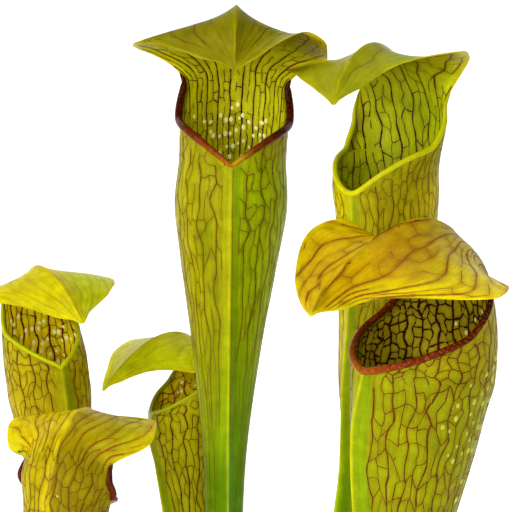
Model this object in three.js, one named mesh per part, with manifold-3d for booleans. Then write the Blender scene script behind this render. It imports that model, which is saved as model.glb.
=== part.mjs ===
// Pitcher plant lifted whole: six hollow pitchers on one creeping rootstock. Millimetres, Z up.
// The front is -Y. Heights are over the surface that the rootstock rests on.
import * as THREE from "three";
import Module from "manifold-3d";

const wasm = await Module();
wasm.setup();

// wall of a leaf, its rolled lip, and the gap left round a separate lip or a stalk in its socket
const WALL = 1.2;
const LIP_R = 1.6;
const GAP = 0.3;
// share of the upper leaf, from the mouth's lowest point to the lid's tip, that is the column
const NECK = 0.34;
// half width of the front wing, as an angle round the tube
const WING_HALF = 0.22;
// share of the tube's height where the hollow starts
const FLOOR = 0.24;
// depth of the keel's crease to each side, as a share of the lid's half width
const CREASE = 0.25;
// share of the lid's length from where it flattens into a single tip
const TIP_FLAT = 0.93;

// What the numbers of a pitcher mean:
// foot, mouth: centre of the tube at its lowest end and at the height of the mouth's lowest point
// bow, lean: sideways push of the tube's lower third, and the slope of its top
// turn, twist: degrees the mouth is turned from the front to the left, and the turn lost down to the foot
// girth, wing: radius of the tube, and height of the front wing, each against the share of the tube's height
// neck: the column's top, behind and above the mouth's centre, and tilt its lean backwards in degrees
// neckWide, neckDeep, wrap: half width, depth and half angle of the column's arc
// side, sag: share of the upper leaf where the mouth's edge is at the side, and how it gets there
// rise, tip, back, over: the curve over the mouth to the lid's tip
// wideL, wideR: half width of the lid to each side against its length
// keel, fall, curl: drop of the lid at its keel, over its breadth and at its edge
// sway, sweep: drift of the lid to the side towards its tip, and of each lobe towards the tip

// the tall pitcher in the middle, which faces the front
const TALL = {
  foot: [-13.5, 12, 20],
  mouth: [-11, 50, 304],
  bow: [-2.5, 0],
  lean: [0.04, 0],
  turn: 1,
  twist: -16,
  girth: [[0, 6.5], [0.08, 5], [0.3, 7.5], [0.5, 9.5], [0.7, 16], [0.85, 23], [0.94, 26.3], [1, 25]],
  wing: [[0, 0], [0.1, 2], [0.4, 6], [0.9, 2], [1, 0]],
  neck: [23, 36.5],
  tilt: -3,
  neckWide: 26,
  neckDeep: 25,
  wrap: 70,
  side: 0.17,
  sag: 0.97,
  rise: 26,
  tip: [-39.5, 44.5],
  back: 1,
  over: 58,
  wideL: [[0, 20], [0.3, 47.5], [0.55, 46.5], [0.8, 40.5], [1, 1]],
  wideR: [[0, 20], [0.3, 42.5], [0.55, 42], [0.8, 30], [1, 1]],
  keel: 11,
  fallL: [[0, -3], [0.5, 8.5], [1, 8]],
  fallR: [[0, -2], [0.5, 10.5], [1, 2.5]],
  curlL: [[0, -5], [0.5, 1], [1, 1]],
  curlR: [[0, 7.5], [0.5, -2], [1, -15.5]],
  sway: [-4, 4.5],
  sweep: [3.5, 4],
};

// the high pitcher on the right, which faces left
const HIGH_RIGHT = {
  foot: [40, 16, 20],
  mouth: [58.5, 4, 294.5],
  bow: [-13.5, 0],
  lean: [-0.06, 0],
  turn: 45,
  twist: 14,
  girth: [[0, 6.5], [0.08, 5], [0.3, 5], [0.5, 7], [0.7, 17.5], [0.85, 21.5], [0.94, 23], [1, 24.5]],
  wing: [[0, 0], [0.1, 2], [0.4, 6], [0.9, 2], [1, 0]],
  neck: [22.5, 34.5],
  tilt: -5,
  neckWide: 29.5,
  neckDeep: 15.5,
  wrap: 72,
  side: 0.17,
  sag: 0.66,
  rise: 34.5,
  tip: [-35, 41],
  back: 21,
  over: 42,
  wideL: [[0, 20], [0.3, 34], [0.55, 53.5], [0.8, 36.5], [1, 1]],
  wideR: [[0, 20], [0.3, 39.5], [0.55, 48.5], [0.8, 20], [1, 1]],
  keel: 8,
  fallL: [[0, -9.5], [0.5, 5.5], [1, -6.5]],
  fallR: [[0, -9], [0.5, 2], [1, 3]],
  curlL: [[0, -15.5], [0.5, -3.5], [1, 6.5]],
  curlR: [[0, -10], [0.5, -5], [1, 4]],
  sway: [2.5, 1],
  sweep: [1, -4.5],
};

// the near pitcher on the right, broad, with a large arched lid
const NEAR_RIGHT = {
  foot: [58, -24, 20],
  mouth: [71.5, -55, 218.5],
  bow: [7, 0],
  lean: [0.14, 0],
  turn: 59,
  twist: 9,
  girth: [[0, 6.5], [0.08, 5], [0.3, 8], [0.5, 13], [0.7, 22], [0.85, 28], [0.94, 30.5], [1, 32.5]],
  wing: [[0, 0], [0.1, 2], [0.4, 7], [0.88, 5.5], [1, 0]],
  neck: [19.5, 46],
  tilt: -25,
  neckWide: 34,
  neckDeep: 28.5,
  wrap: 47,
  side: 0.21,
  sag: 0.76,
  rise: 58,
  tip: [-73.5, 24.5],
  back: 15,
  over: 18,
  wideL: [[0, 24], [0.3, 45.5], [0.55, 45.5], [0.8, 28], [1, 1]],
  wideR: [[0, 24], [0.3, 49], [0.55, 69], [0.8, 9.5], [1, 1]],
  keel: 12.5,
  fallL: [[0, 19.5], [0.5, 2.5], [1, -9]],
  fallR: [[0, 13], [0.5, 13], [1, 2.5]],
  curlL: [[0, 10], [0.5, -12.5], [1, 8]],
  curlR: [[0, 5.5], [0.5, -5], [1, 1.5]],
  sway: [5, 13.5],
  sweep: [1, -6.5],
};

// the pitcher on the left, which faces right
const LEFT = {
  foot: [-76, 16, 20],
  mouth: [-98, 40, 210.5],
  bow: [0.5, 0],
  lean: [-0.12, 0],
  turn: -27,
  twist: 6,
  girth: [[0, 6], [0.08, 4.5], [0.3, 6], [0.5, 10], [0.7, 15], [0.85, 17.5], [0.94, 19.5], [1, 19.5]],
  wing: [[0, 0], [0.1, 2], [0.4, 6], [0.9, 2], [1, 0]],
  neck: [13.5, 32],
  tilt: -7,
  neckWide: 18,
  neckDeep: 13.5,
  wrap: 59,
  side: 0.21,
  sag: 1.23,
  rise: 23.5,
  tip: [-34, 20.5],
  back: 12.5,
  over: 31.5,
  wideL: [[0, 14], [0.3, 25], [0.55, 35], [0.8, 18], [1, 1]],
  wideR: [[0, 14], [0.3, 39], [0.55, 36], [0.8, 25], [1, 1]],
  keel: 5.5,
  fallL: [[0, -4], [0.5, 6.5], [1, 5]],
  fallR: [[0, 1], [0.5, 5.5], [1, 3]],
  curlL: [[0, -1], [0.5, -1], [1, 3.5]],
  curlR: [[0, -1], [0.5, 3], [1, 2]],
  sway: [7, 0],
  sweep: [-2, -1.5],
};

// the low pitcher on the left, which faces away
const LOW_LEFT = {
  foot: [-80, -16, 20],
  mouth: [-84, -33, 153],
  bow: [0, 0],
  lean: [0.04, 0],
  turn: -154,
  twist: 0,
  girth: [[0, 6], [0.08, 4.5], [0.3, 7], [0.5, 11], [0.7, 15], [0.85, 18.5], [0.94, 19.5], [1, 19]],
  wing: [[0, 0], [0.1, 2], [0.4, 6], [0.9, 2], [1, 0]],
  neck: [14.5, 23.5],
  tilt: -22,
  neckWide: 23.5,
  neckDeep: 21.5,
  wrap: 69,
  side: 0.17,
  sag: 0.94,
  rise: 39.5,
  tip: [-40.5, 24.5],
  back: 4.5,
  over: 23,
  wideL: [[0, 16], [0.3, 45], [0.55, 40.5], [0.8, 10.5], [1, 1]],
  wideR: [[0, 16], [0.3, 28], [0.55, 31.5], [0.8, 11.5], [1, 1]],
  keel: 2.5,
  fallL: [[0, 2], [0.5, 1.5], [1, 1.5]],
  fallR: [[0, 11], [0.5, 6.5], [1, 1]],
  curlL: [[0, -4], [0.5, -0.5], [1, 3]],
  curlR: [[0, 1], [0.5, 3], [1, 3]],
  sway: [2.5, 4],
  sweep: [-11.5, -13],
};

// the small pitcher behind the tall one, which faces left
const BEHIND = {
  foot: [-20, 34, 20],
  mouth: [-34.5, 75, 183.5],
  bow: [3.5, 0],
  lean: [-0.0, 0],
  turn: 66,
  twist: 0,
  girth: [[0, 6], [0.08, 4.5], [0.3, 6], [0.5, 8.5], [0.7, 11], [0.85, 14.5], [0.94, 18], [1, 18]],
  wing: [[0, 0], [0.1, 2], [0.4, 6], [0.9, 2], [1, 0]],
  neck: [10.5, 26],
  tilt: -16,
  neckWide: 20,
  neckDeep: 13.5,
  wrap: 48,
  side: 0.21,
  sag: 1.39,
  rise: 21,
  tip: [-38.5, 11.5],
  back: 19,
  over: 32.5,
  wideL: [[0, 12], [0.3, 25], [0.55, 42], [0.8, 31.5], [1, 1]],
  wideR: [[0, 12], [0.3, 23], [0.55, 25.5], [0.8, 8], [1, 1]],
  keel: 4,
  fallL: [[0, 2.5], [0.5, 4.5], [1, 1.5]],
  fallR: [[0, 0], [0.5, 8.5], [1, 1]],
  curlL: [[0, 3.5], [0.5, 0.5], [1, -3]],
  curlR: [[0, -2.5], [0.5, 4.5], [1, 0]],
  sway: [-2, -6.5],
  sweep: [-3.5, -0.5],
};

function clamp(x, low, high) {
  return Math.min(high, Math.max(low, x));
}

function ease(x, from, to) {
  const t = clamp((x - from) / (to - from), 0, 1);
  return t * t * (3 - 2 * t);
}

// smooth curve through [share, value] points that never overshoots them
function along(points, x) {
  const n = points.length;
  const step = [];
  const slope = [];
  for (let i = 0; i < n - 1; i += 1) {
    step.push(points[i + 1][0] - points[i][0]);
    slope.push((points[i + 1][1] - points[i][1]) / step[i]);
  }
  const lean = [slope[0]];
  for (let i = 1; i < n - 1; i += 1) {
    const product = slope[i - 1] * slope[i];
    lean.push(product <= 0 ? 0 : (2 * product) / (slope[i - 1] + slope[i]));
  }
  lean.push(slope[n - 2]);
  let i = 0;
  while (i < n - 2 && x >= points[i + 1][0]) {
    i += 1;
  }
  const t = clamp((x - points[i][0]) / step[i], 0, 1);
  const rest = 1 - t;
  const start = rest * rest * (1 + 2 * t) * points[i][1];
  const end = t * t * (3 - 2 * t) * points[i + 1][1];
  return start + end + step[i] * (rest * rest * t * lean[i] - rest * t * t * lean[i + 1]);
}

// cubic through four points of any dimension
function bezier(p, t) {
  const s = 1 - t;
  const weight = [s * s * s, 3 * s * s * t, 3 * s * t * t, t * t * t];
  return p[0].map((_, k) => weight.reduce((sum, share, i) => sum + share * p[i][k], 0));
}

// centre of the tube at a share of its height, with its upward, forward and sideways directions
function frameAt(p, h) {
  const foot = new THREE.Vector3(...p.foot);
  const mouth = new THREE.Vector3(...p.mouth);
  const third = foot.distanceTo(mouth) / 3;
  const low = foot.clone().add(new THREE.Vector3(p.bow[0], p.bow[1], third));
  const slope = new THREE.Vector3(p.lean[0], p.lean[1], 1).normalize();
  const high = mouth.clone().addScaledVector(slope, -third);
  const way = new THREE.CubicBezierCurve3(foot, low, high, mouth);
  const at = way.getPoint(h);
  const up = way.getTangent(h);
  const turn = THREE.MathUtils.degToRad(p.turn + p.twist * (1 - h));
  const front = new THREE.Vector3(-Math.sin(turn), -Math.cos(turn), 0);
  front.addScaledVector(up, -front.dot(up)).normalize();
  const side = new THREE.Vector3().crossVectors(up, front);
  return { at, up, front, side };
}

// middle line of the upper leaf, as [behind, above] the mouth's centre
function spine(p, v) {
  const deep = p.girth[p.girth.length - 1][1] * 0.95;
  const tilt = THREE.MathUtils.degToRad(p.tilt);
  const way = [Math.sin(tilt), Math.cos(tilt)];
  const neck = p.neck;
  if (v < NECK) {
    const from = [deep, 0];
    const low = [deep, neck[1] * 0.4];
    const high = [neck[0] - way[0] * neck[1] * 0.33, neck[1] - way[1] * neck[1] * 0.33];
    return bezier([from, low, high, neck], clamp(v / NECK, 0, 1));
  }
  const rise = [neck[0] + way[0] * p.rise, neck[1] + way[1] * p.rise];
  const over = [p.tip[0] + p.back, p.tip[1] + p.over];
  return bezier([neck, rise, over, p.tip], clamp((v - NECK) / (1 - NECK), 0, 1));
}

// cross-section of the upper leaf: sideways place and depth in from the middle line
function section(p, u, v) {
  const q = Math.abs(u);
  const sign = u < 0 ? -1 : 1;
  const girth = p.girth[p.girth.length - 1][1];
  const t = clamp(v / p.side, 0, 1);
  const wrap = THREE.MathUtils.degToRad(p.wrap);
  let open = Math.PI - Math.asin(clamp(t ** p.sag, 0, 1));
  if (v >= p.side) {
    open = Math.PI / 2 + (wrap - Math.PI / 2) * ease(v, p.side, NECK);
  }
  const blend = ease(v, 0.02, NECK);
  const wide = girth + (p.neckWide - girth) * blend;
  const deep = girth * 0.95 + (p.neckDeep - girth * 0.95) * blend;
  const arcX = wide * Math.sin(open * q);
  const arcD = deep * (1 - Math.cos(open * q));
  const w = clamp((v - NECK) / (1 - NECK), 0, 1);
  const half = along(u < 0 ? p.wideL : p.wideR, w);
  const fall = along(u < 0 ? p.fallL : p.fallR, w);
  const curl = along(u < 0 ? p.curlL : p.curlR, w);
  const ends = Math.sin(Math.PI * w) ** 0.7;
  const drop = p.keel * ends * (1 - Math.exp(-q / CREASE)) + fall * q * q + curl * q ** 4;
  const lidD = drop * (1 - ease(w, TIP_FLAT, 1));
  const k = ease(w, 0, 0.35);
  const x = sign * (arcX * (1 - k) + half * q * k) + p.sway[0] * w * w + p.sway[1] * w ** 3;
  return [x, arcD * (1 - k) + lidD * k];
}

// a point of the leaf: u runs from edge to edge, r from the foot (0) past the mouth (1) to the tip (2)
function skin(p, u, r, inset, winged) {
  if (r <= 1) {
    const f = frameAt(p, r);
    const a = along(p.girth, r);
    const phi = Math.PI * Math.abs(u);
    const wing = winged ? along(p.wing, r) * Math.exp(-(Math.PI - phi) / WING_HALF) : 0;
    const x = (u < 0 ? -1 : 1) * (a - inset) * Math.sin(phi);
    const y = (a * 0.95 - inset) * Math.cos(phi) - wing;
    return f.at.addScaledVector(f.side, x).addScaledVector(f.front, -y);
  }
  const v = r - 1;
  const f = frameAt(p, 1);
  const step = 0.001;
  const mid = spine(p, v);
  const before = spine(p, clamp(v - step, 0, 1));
  const after = spine(p, clamp(v + step, 0, 1));
  const way = new THREE.Vector2(after[0] - before[0], after[1] - before[1]).normalize();
  const low = section(p, clamp(u - step, -1, 1), v);
  const high = section(p, clamp(u + step, -1, 1), v);
  const tangent = new THREE.Vector2(high[0] - low[0], high[1] - low[1]).normalize();
  const here = section(p, u, v);
  const x = here[0] - inset * tangent.y;
  const depth = here[1] + inset * tangent.x;
  const w = (v - NECK) / (1 - NECK);
  const shift = p.sweep[u < 0 ? 0 : 1] * u * u * ease(w, 0, 0.35) * (1 - ease(w, TIP_FLAT, 1));
  const back = mid[0] - depth * way.y + shift * way.x;
  const above = mid[1] + depth * way.x + shift * way.y;
  return f.at.addScaledVector(f.side, x).addScaledVector(f.front, -back).addScaledVector(f.up, above);
}

// closed mesh from points and corner triples
function solid(points, corners) {
  const place = new Float32Array(points.flatMap((p) => [p.x, p.y, p.z]));
  const mesh = new wasm.Mesh({ numProp: 3, vertProperties: place, triVerts: new Uint32Array(corners) });
  mesh.merge();
  return new wasm.Manifold(mesh);
}

const TUBE_ROWS = [0, 0.06, 0.14, 0.24, 0.36, 0.48, 0.6, 0.71, 0.81, 0.9, 1];
const NECK_ROWS = [1.025, 1.06, 1.1, 1.14, 1.175, 1.21, 1.265, 1.34];
const LID_ROWS = [0.12, 0.24, 0.36, 0.48, 0.6, 0.72, 0.84, 0.94, 1];

// columns stand closer together at the wing and at the lid's edge than at the keel
const EDGE_CROWD = 1.35;

function across(i, columns) {
  const t = -1 + (2 * i) / columns;
  return Math.sign(t) * (1 - (1 - Math.abs(t)) ** EDGE_CROWD);
}

// one leaf: outer skin, inner skin, the edge between them, a closed stalk and the floor of the hollow
function leaf(p, columns) {
  const rows = [...TUBE_ROWS, ...NECK_ROWS, ...LID_ROWS.map((w) => 1 + NECK + (1 - NECK) * w)];
  const points = [];
  const corners = [];
  const outer = [];
  const inner = [];
  const put = (list, r, inset, winged) => {
    const row = [];
    for (let i = 0; i <= columns; i += 1) {
      if (i === columns && r <= 1) {
        row.push(row[0]);
      } else {
        points.push(skin(p, across(i, columns), r, inset, winged));
        row.push(points.length - 1);
      }
    }
    list.push(row);
  };
  rows.forEach((r) => put(outer, r, 0, true));
  const hollow = rows.filter((r) => r >= FLOOR);
  hollow.forEach((r) => put(inner, r, WALL, false));
  const sheet = (list, flip) => {
    for (let j = 0; j < list.length - 1; j += 1) {
      for (let i = 0; i < columns; i += 1) {
        const a = list[j][i];
        const b = list[j][i + 1];
        const c = list[j + 1][i + 1];
        const d = list[j + 1][i];
        corners.push(...(flip ? [a, c, d, a, b, c] : [a, d, c, a, c, b]));
      }
    }
  };
  sheet(outer, false);
  sheet(inner, true);
  const shift = outer.length - inner.length;
  const first = rows.indexOf(1);
  for (let j = first; j < rows.length - 1; j += 1) {
    const o = outer[j];
    const oUp = outer[j + 1];
    const n = inner[j - shift];
    const nUp = inner[j + 1 - shift];
    corners.push(oUp[0], o[0], n[0], oUp[0], n[0], nUp[0]);
    corners.push(o[columns], oUp[columns], nUp[columns], o[columns], nUp[columns], n[columns]);
  }
  const oTop = outer[outer.length - 1];
  const nTop = inner[inner.length - 1];
  points.push(frameAt(p, 0).at);
  const footAt = points.length - 1;
  points.push(frameAt(p, FLOOR).at);
  const floorAt = points.length - 1;
  for (let i = 0; i < columns; i += 1) {
    corners.push(oTop[i + 1], oTop[i], nTop[i], oTop[i + 1], nTop[i], nTop[i + 1]);
    corners.push(outer[0][i], outer[0][i + 1], footAt);
    corners.push(inner[0][i + 1], inner[0][i], floorAt);
  }
  return solid(points, corners);
}

// rolled lip along the mouth's edge, from one side of the column down to the front and up the other
function lip(p, radius) {
  const stops = [0.32, 0.265, 0.21, 0.175, 0.14, 0.1, 0.06, 0.025];
  const middle = (u, v) => skin(p, u, 1 + v, WALL / 2, false);
  const way = [...stops.map((v) => middle(-1, v)), middle(1, 0), ...stops.reverse().map((v) => middle(1, v))];
  return cord(way, radius, 20, 6);
}

// round cord through points, made by pushing a many-sided outline along a curve
function cord(way, radius, steps, sides) {
  const outline = new THREE.Shape();
  for (let i = 0; i < sides; i += 1) {
    const a = (2 * Math.PI * i) / sides;
    if (i === 0) {
      outline.moveTo(radius, 0);
    } else {
      outline.lineTo(radius * Math.cos(a), radius * Math.sin(a));
    }
  }
  outline.closePath();
  const path = new THREE.CatmullRomCurve3(way, false, "centripetal");
  const shape = new THREE.ExtrudeGeometry(outline, { steps, extrudePath: path, bevelEnabled: false });
  return fromGeometry(shape);
}

function fromGeometry(geometry) {
  const place = geometry.getAttribute("position");
  const points = [];
  for (let i = 0; i < place.count; i += 1) {
    points.push(new THREE.Vector3().fromBufferAttribute(place, i));
  }
  const index = geometry.getIndex();
  const corners = index ? [...index.array] : points.map((_, i) => i);
  const seen = new Map();
  const unique = [];
  const remap = points.map((q) => {
    const key = [q.x, q.y, q.z].map((c) => Math.round(c * 1000)).join(" ");
    if (!seen.has(key)) {
      seen.set(key, unique.length);
      unique.push(q);
    }
    return seen.get(key);
  });
  const kept = [];
  for (let i = 0; i < corners.length; i += 3) {
    const [a, b, c] = [remap[corners[i]], remap[corners[i + 1]], remap[corners[i + 2]]];
    if (a !== b && b !== c && a !== c) {
      kept.push(a, b, c);
    }
  }
  return solid(unique, kept);
}

// closed body round a curve, its radius a function of the share along it and of the angle
function stem(way, radius, steps, sides) {
  const stops = way.map((q) => new THREE.Vector3(...q));
  const path = new THREE.CatmullRomCurve3(stops, false, "centripetal");
  const frames = path.computeFrenetFrames(steps, false);
  const points = [];
  const corners = [];
  for (let j = 0; j <= steps; j += 1) {
    const at = path.getPointAt(j / steps);
    for (let i = 0; i < sides; i += 1) {
      const a = (2 * Math.PI * i) / sides;
      const reach = radius(j / steps, a);
      const out = frames.normals[j].clone().multiplyScalar(Math.cos(a));
      out.addScaledVector(frames.binormals[j], Math.sin(a));
      points.push(at.clone().addScaledVector(out, reach));
    }
  }
  for (let j = 0; j < steps; j += 1) {
    for (let i = 0; i < sides; i += 1) {
      const a = j * sides + i;
      const b = j * sides + ((i + 1) % sides);
      corners.push(a, b, b + sides, a, b + sides, a + sides);
    }
  }
  points.push(path.getPointAt(0), path.getPointAt(1));
  const last = steps * sides;
  for (let i = 0; i < sides; i += 1) {
    const next = (i + 1) % sides;
    corners.push(next, i, points.length - 2, last + i, last + next, points.length - 1);
  }
  return solid(points, corners);
}
// stalk of a leaf, a gap larger all round, that cuts its socket
function plug(p, sides) {
  const points = [];
  const corners = [];
  const shares = [0, 0.06, 0.14, 0.24];
  const rows = shares.map((h, j) => {
    const row = [];
    for (let i = 0; i < sides; i += 1) {
      const at = skin(p, across(i, sides), h, -GAP, true);
      if (j === 0) {
        at.z -= GAP;
      }
      points.push(at);
      row.push(points.length - 1);
    }
    return row;
  });
  for (let j = 0; j < rows.length - 1; j += 1) {
    for (let i = 0; i < sides; i += 1) {
      const next = (i + 1) % sides;
      corners.push(rows[j][i], rows[j + 1][i], rows[j + 1][next]);
      corners.push(rows[j][i], rows[j + 1][next], rows[j][next]);
    }
  }
  const low = frameAt(p, 0).at;
  low.z -= GAP;
  points.push(low, frameAt(p, shares[shares.length - 1]).at);
  for (let i = 0; i < sides; i += 1) {
    const next = (i + 1) % sides;
    const top = rows[rows.length - 1];
    corners.push(rows[0][i], rows[0][next], points.length - 2, top[next], top[i], points.length - 1);
  }
  return solid(points, corners);
}

// the creeping rootstock lies along X, with a short branch to each pitcher on the right
const STOCK_R = 12;
const STOCK = [
  [-100, 0, 10], [-80, -2, 10], [-52, 4, 10], [-20, 14, 10],
  [12, 12, 10], [42, 6, 10], [66, 4, 10], [84, 8, 10],
];
const BRANCHES = [
  [[40, 8, 9], [41, 16, 9], [40, 24, 9], [38, 34, 9]],
  [[46, 6, 9], [52, -6, 9], [58, -22, 9], [64, -36, 9]],
  [[-8, 14, 9], [-3, 6, 9], [1, -4, 9], [7, -16, 9]],
  [[-24, 14, 9], [-22, 24, 9], [-20, 34, 9], [-20, 42, 9]],
];
const SCALE_PITCH = 0.085;

function knobbly(thick) {
  return (share, angle) => {
    const ends = Math.min(1, Math.sqrt(Math.sin(Math.PI * clamp(share, 0.012, 0.988))) * 1.5);
    const ring = 0.06 * Math.sin((2 * Math.PI * share) / SCALE_PITCH);
    const lump = 0.07 * Math.sin(3 * angle + 17 * share) + 0.05 * Math.sin(2 * angle - 29 * share);
    return thick * ends * (1 + ring + lump);
  };
}

// sheath round a stalk: a crown of the rootstock that ends in pointed scales
function crown(p, seed) {
  const sides = 12;
  const rows = 4;
  const points = [];
  const corners = [];
  for (let j = 0; j <= rows; j += 1) {
    const t = j / rows;
    const f = frameAt(p, t * 0.09);
    for (let i = 0; i < sides; i += 1) {
      const a = (2 * Math.PI * i) / sides;
      const point = Math.max(0, Math.cos(2.5 * a + seed)) ** 2;
      const reach = 12.5 - 4.6 * ease(t, 0, 1) + 1.2 * Math.sin(a * 3 + seed * 2) * (1 - t);
      const height = 8 + t * (22 + 13 * point + 5 * Math.sin(a + seed));
      const at = f.at.clone().addScaledVector(f.side, reach * Math.cos(a));
      at.addScaledVector(f.front, -reach * Math.sin(a));
      at.z = height;
      points.push(at);
    }
  }
  for (let j = 0; j < rows; j += 1) {
    for (let i = 0; i < sides; i += 1) {
      const a = j * sides + i;
      const b = j * sides + ((i + 1) % sides);
      corners.push(a, b, b + sides, a, b + sides, a + sides);
    }
  }
  const base = new THREE.Vector3(p.foot[0], p.foot[1], 8);
  const top = frameAt(p, 0.08).at;
  top.z = 32;
  points.push(base, top);
  const last = rows * sides;
  for (let i = 0; i < sides; i += 1) {
    const next = (i + 1) % sides;
    corners.push(next, i, points.length - 2, last + i, last + next, points.length - 1);
  }
  return solid(points, corners);
}

// roots leave the rootstock low down and lie on the surface: start, heading in degrees, length, bend
const ROOT_R = 1.3;
const ROOTS = [
  [-92, -6, 205, 34, 20],
  [-84, -12, 250, 44, -30],
  [-66, -4, 290, 46, 25],
  [-70, 8, 100, 46, -25],
  [-48, 0, 262, 50, 30],
  [-40, 12, 80, 42, 30],
  [-30, 10, 235, 50, -25],
  [7, -16, 282, 40, 25],
  [-20, 42, 95, 34, -30],
  [24, 4, 262, 52, 25],
  [26, 16, 70, 40, 25],
  [39, 34, 60, 34, -25],
  [72, 0, 300, 42, 25],
  [80, 8, 20, 36, -30],
  [63, -34, 250, 34, -20],
];

function root([x, y, heading, length, bend]) {
  const steps = 6;
  const way = [];
  let turn = THREE.MathUtils.degToRad(heading);
  let at = [x, y];
  for (let i = 0; i <= steps; i += 1) {
    const t = i / steps;
    const z = ROOT_R - 0.02 + 5.5 * (1 - ease(t, 0, 0.45));
    way.push(new THREE.Vector3(at[0], at[1], z));
    turn += THREE.MathUtils.degToRad(bend) * Math.sin(5 * t + x) * 0.8;
    at = [at[0] + (Math.cos(turn) * length) / steps, at[1] + (Math.sin(turn) * length) / steps];
  }
  return cord(way, ROOT_R, 7, 5);
}

const PLANTS = [
  { key: "tall", p: TALL, columns: 16, redLip: true },
  { key: "high_right", p: HIGH_RIGHT, columns: 16, redLip: false },
  { key: "near_right", p: NEAR_RIGHT, columns: 16, redLip: true },
  { key: "left", p: LEFT, columns: 14, redLip: false },
  { key: "low_left", p: LOW_LEFT, columns: 14, redLip: true },
  { key: "behind", p: BEHIND, columns: 14, redLip: false },
];

let rootstock = stem(STOCK, knobbly(STOCK_R), 22, 10);
for (const branch of BRANCHES) {
  rootstock = rootstock.add(stem(branch, knobbly(STOCK_R * 0.88), 6, 8));
}
PLANTS.forEach((plant, i) => {
  rootstock = rootstock.add(crown(plant.p, i * 1.3));
});
for (const one of ROOTS) {
  rootstock = rootstock.add(root(one));
}
// the underside is cut level, so that the rootstock lies on a flat
const BELOW = 40;
const block = new THREE.BoxGeometry(400, 400, BELOW);
block.translate(0, 0, -BELOW / 2);
rootstock = rootstock.subtract(fromGeometry(block));
for (const plant of PLANTS) {
  rootstock = rootstock.subtract(plug(plant.p, plant.columns));
}

const group = new THREE.Group();

function keep(name, body, colour, roughness) {
  const mesh = body.getMesh();
  const geometry = new THREE.BufferGeometry();
  const place = new Float32Array(mesh.numVert * 3);
  for (let i = 0; i < mesh.numVert; i += 1) {
    for (let k = 0; k < 3; k += 1) {
      place[3 * i + k] = mesh.vertProperties[mesh.numProp * i + k];
    }
  }
  geometry.setAttribute("position", new THREE.BufferAttribute(place, 3));
  geometry.setIndex([...mesh.triVerts]);
  const material = new THREE.MeshStandardMaterial({ color: colour, roughness, metalness: 0 });
  const item = new THREE.Mesh(geometry, material);
  item.name = name;
  group.add(item);
}

const LEAF_COLOUR = "#a3ab12";
const LIP_COLOUR = "#6e1f10";
const STOCK_COLOUR = "#6b4a2c";

for (const plant of PLANTS) {
  let body = leaf(plant.p, plant.columns);
  if (plant.redLip) {
    body = body.subtract(lip(plant.p, LIP_R + GAP));
    keep(`lip_${plant.key}`, lip(plant.p, LIP_R), LIP_COLOUR, 0.3);
  } else {
    body = body.add(lip(plant.p, LIP_R));
  }
  keep(`pitcher_${plant.key}`, body, LEAF_COLOUR, 0.45);
}
keep("rootstock", rootstock, STOCK_COLOUR, 0.8);

export default group;
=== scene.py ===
import math

import bpy
import numpy as np
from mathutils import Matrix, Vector
from mathutils.geometry import delaunay_2d_cdt


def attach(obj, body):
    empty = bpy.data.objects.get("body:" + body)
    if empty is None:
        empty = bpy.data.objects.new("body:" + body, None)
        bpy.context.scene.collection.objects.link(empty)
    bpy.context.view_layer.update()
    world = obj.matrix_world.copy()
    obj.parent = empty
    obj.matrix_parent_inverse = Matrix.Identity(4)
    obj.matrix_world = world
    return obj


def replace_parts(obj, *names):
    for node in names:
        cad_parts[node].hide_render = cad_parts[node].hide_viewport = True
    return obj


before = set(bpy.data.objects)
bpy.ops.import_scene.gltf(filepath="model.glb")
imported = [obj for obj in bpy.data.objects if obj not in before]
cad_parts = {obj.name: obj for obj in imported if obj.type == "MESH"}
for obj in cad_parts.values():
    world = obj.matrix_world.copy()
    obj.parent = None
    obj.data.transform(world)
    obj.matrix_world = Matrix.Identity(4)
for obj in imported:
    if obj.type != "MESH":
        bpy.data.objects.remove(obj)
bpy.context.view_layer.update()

# Camera and studio.
# The plant is seen from a little above the mouths, from straight in front and through a long lens. It
# stands on a pale paper sweep, with a soft lamp on its left, a larger one in front and a weak one above.
LENS, SENSOR, VIEW_END = 187.5, 36, 50
CAMERA_PLACE, CAMERA_TILT = (0, -1.1954, 0.3698), 85
camera = bpy.data.objects.new("camera", bpy.data.cameras.new("camera"))
camera.data.lens, camera.data.sensor_width, camera.data.clip_end = LENS, SENSOR, VIEW_END
camera.location = CAMERA_PLACE
camera.rotation_euler = (math.radians(CAMERA_TILT), 0, 0)
bpy.context.scene.collection.objects.link(camera)
bpy.context.scene.camera = camera
bpy.context.scene.view_settings.view_transform = "Standard"


def paint(hexa):
    """An sRGB colour such as "#a0b020" as linear red, green, blue and alpha."""
    s = np.array([int(hexa[i:i + 2], 16) for i in (1, 3, 5)]) / 255
    linear = np.where(s <= 0.04045, s / 12.92, ((s + 0.055) / 1.055) ** 2.4)
    return (*linear.tolist(), 1.0)


def new_material(name):
    """An empty node material, and the function that adds a node to it with its settings and its sockets, by
    name or number, each set or linked. A node given for a socket is linked by its first output."""
    made = bpy.data.materials.new(name)
    made.use_nodes = True
    tree = made.node_tree
    tree.nodes.clear()

    def add(kind, sockets=None, **settings):
        node = tree.nodes.new("ShaderNode" + kind)
        for key, value in settings.items():
            setattr(node, key, value)
        for key, value in (sockets or {}).items():
            value = value.outputs[0] if isinstance(value, bpy.types.Node) else value
            if isinstance(value, bpy.types.NodeSocket):
                tree.links.new(value, node.inputs[key])
            else:
                node.inputs[key].default_value = value
        return node

    return made, add


def plain_material(name, sockets):
    """A finish without a pattern."""
    made, add = new_material(name)
    add("OutputMaterial", {"Surface": add("BsdfPrincipled", sockets)})
    return made


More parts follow.
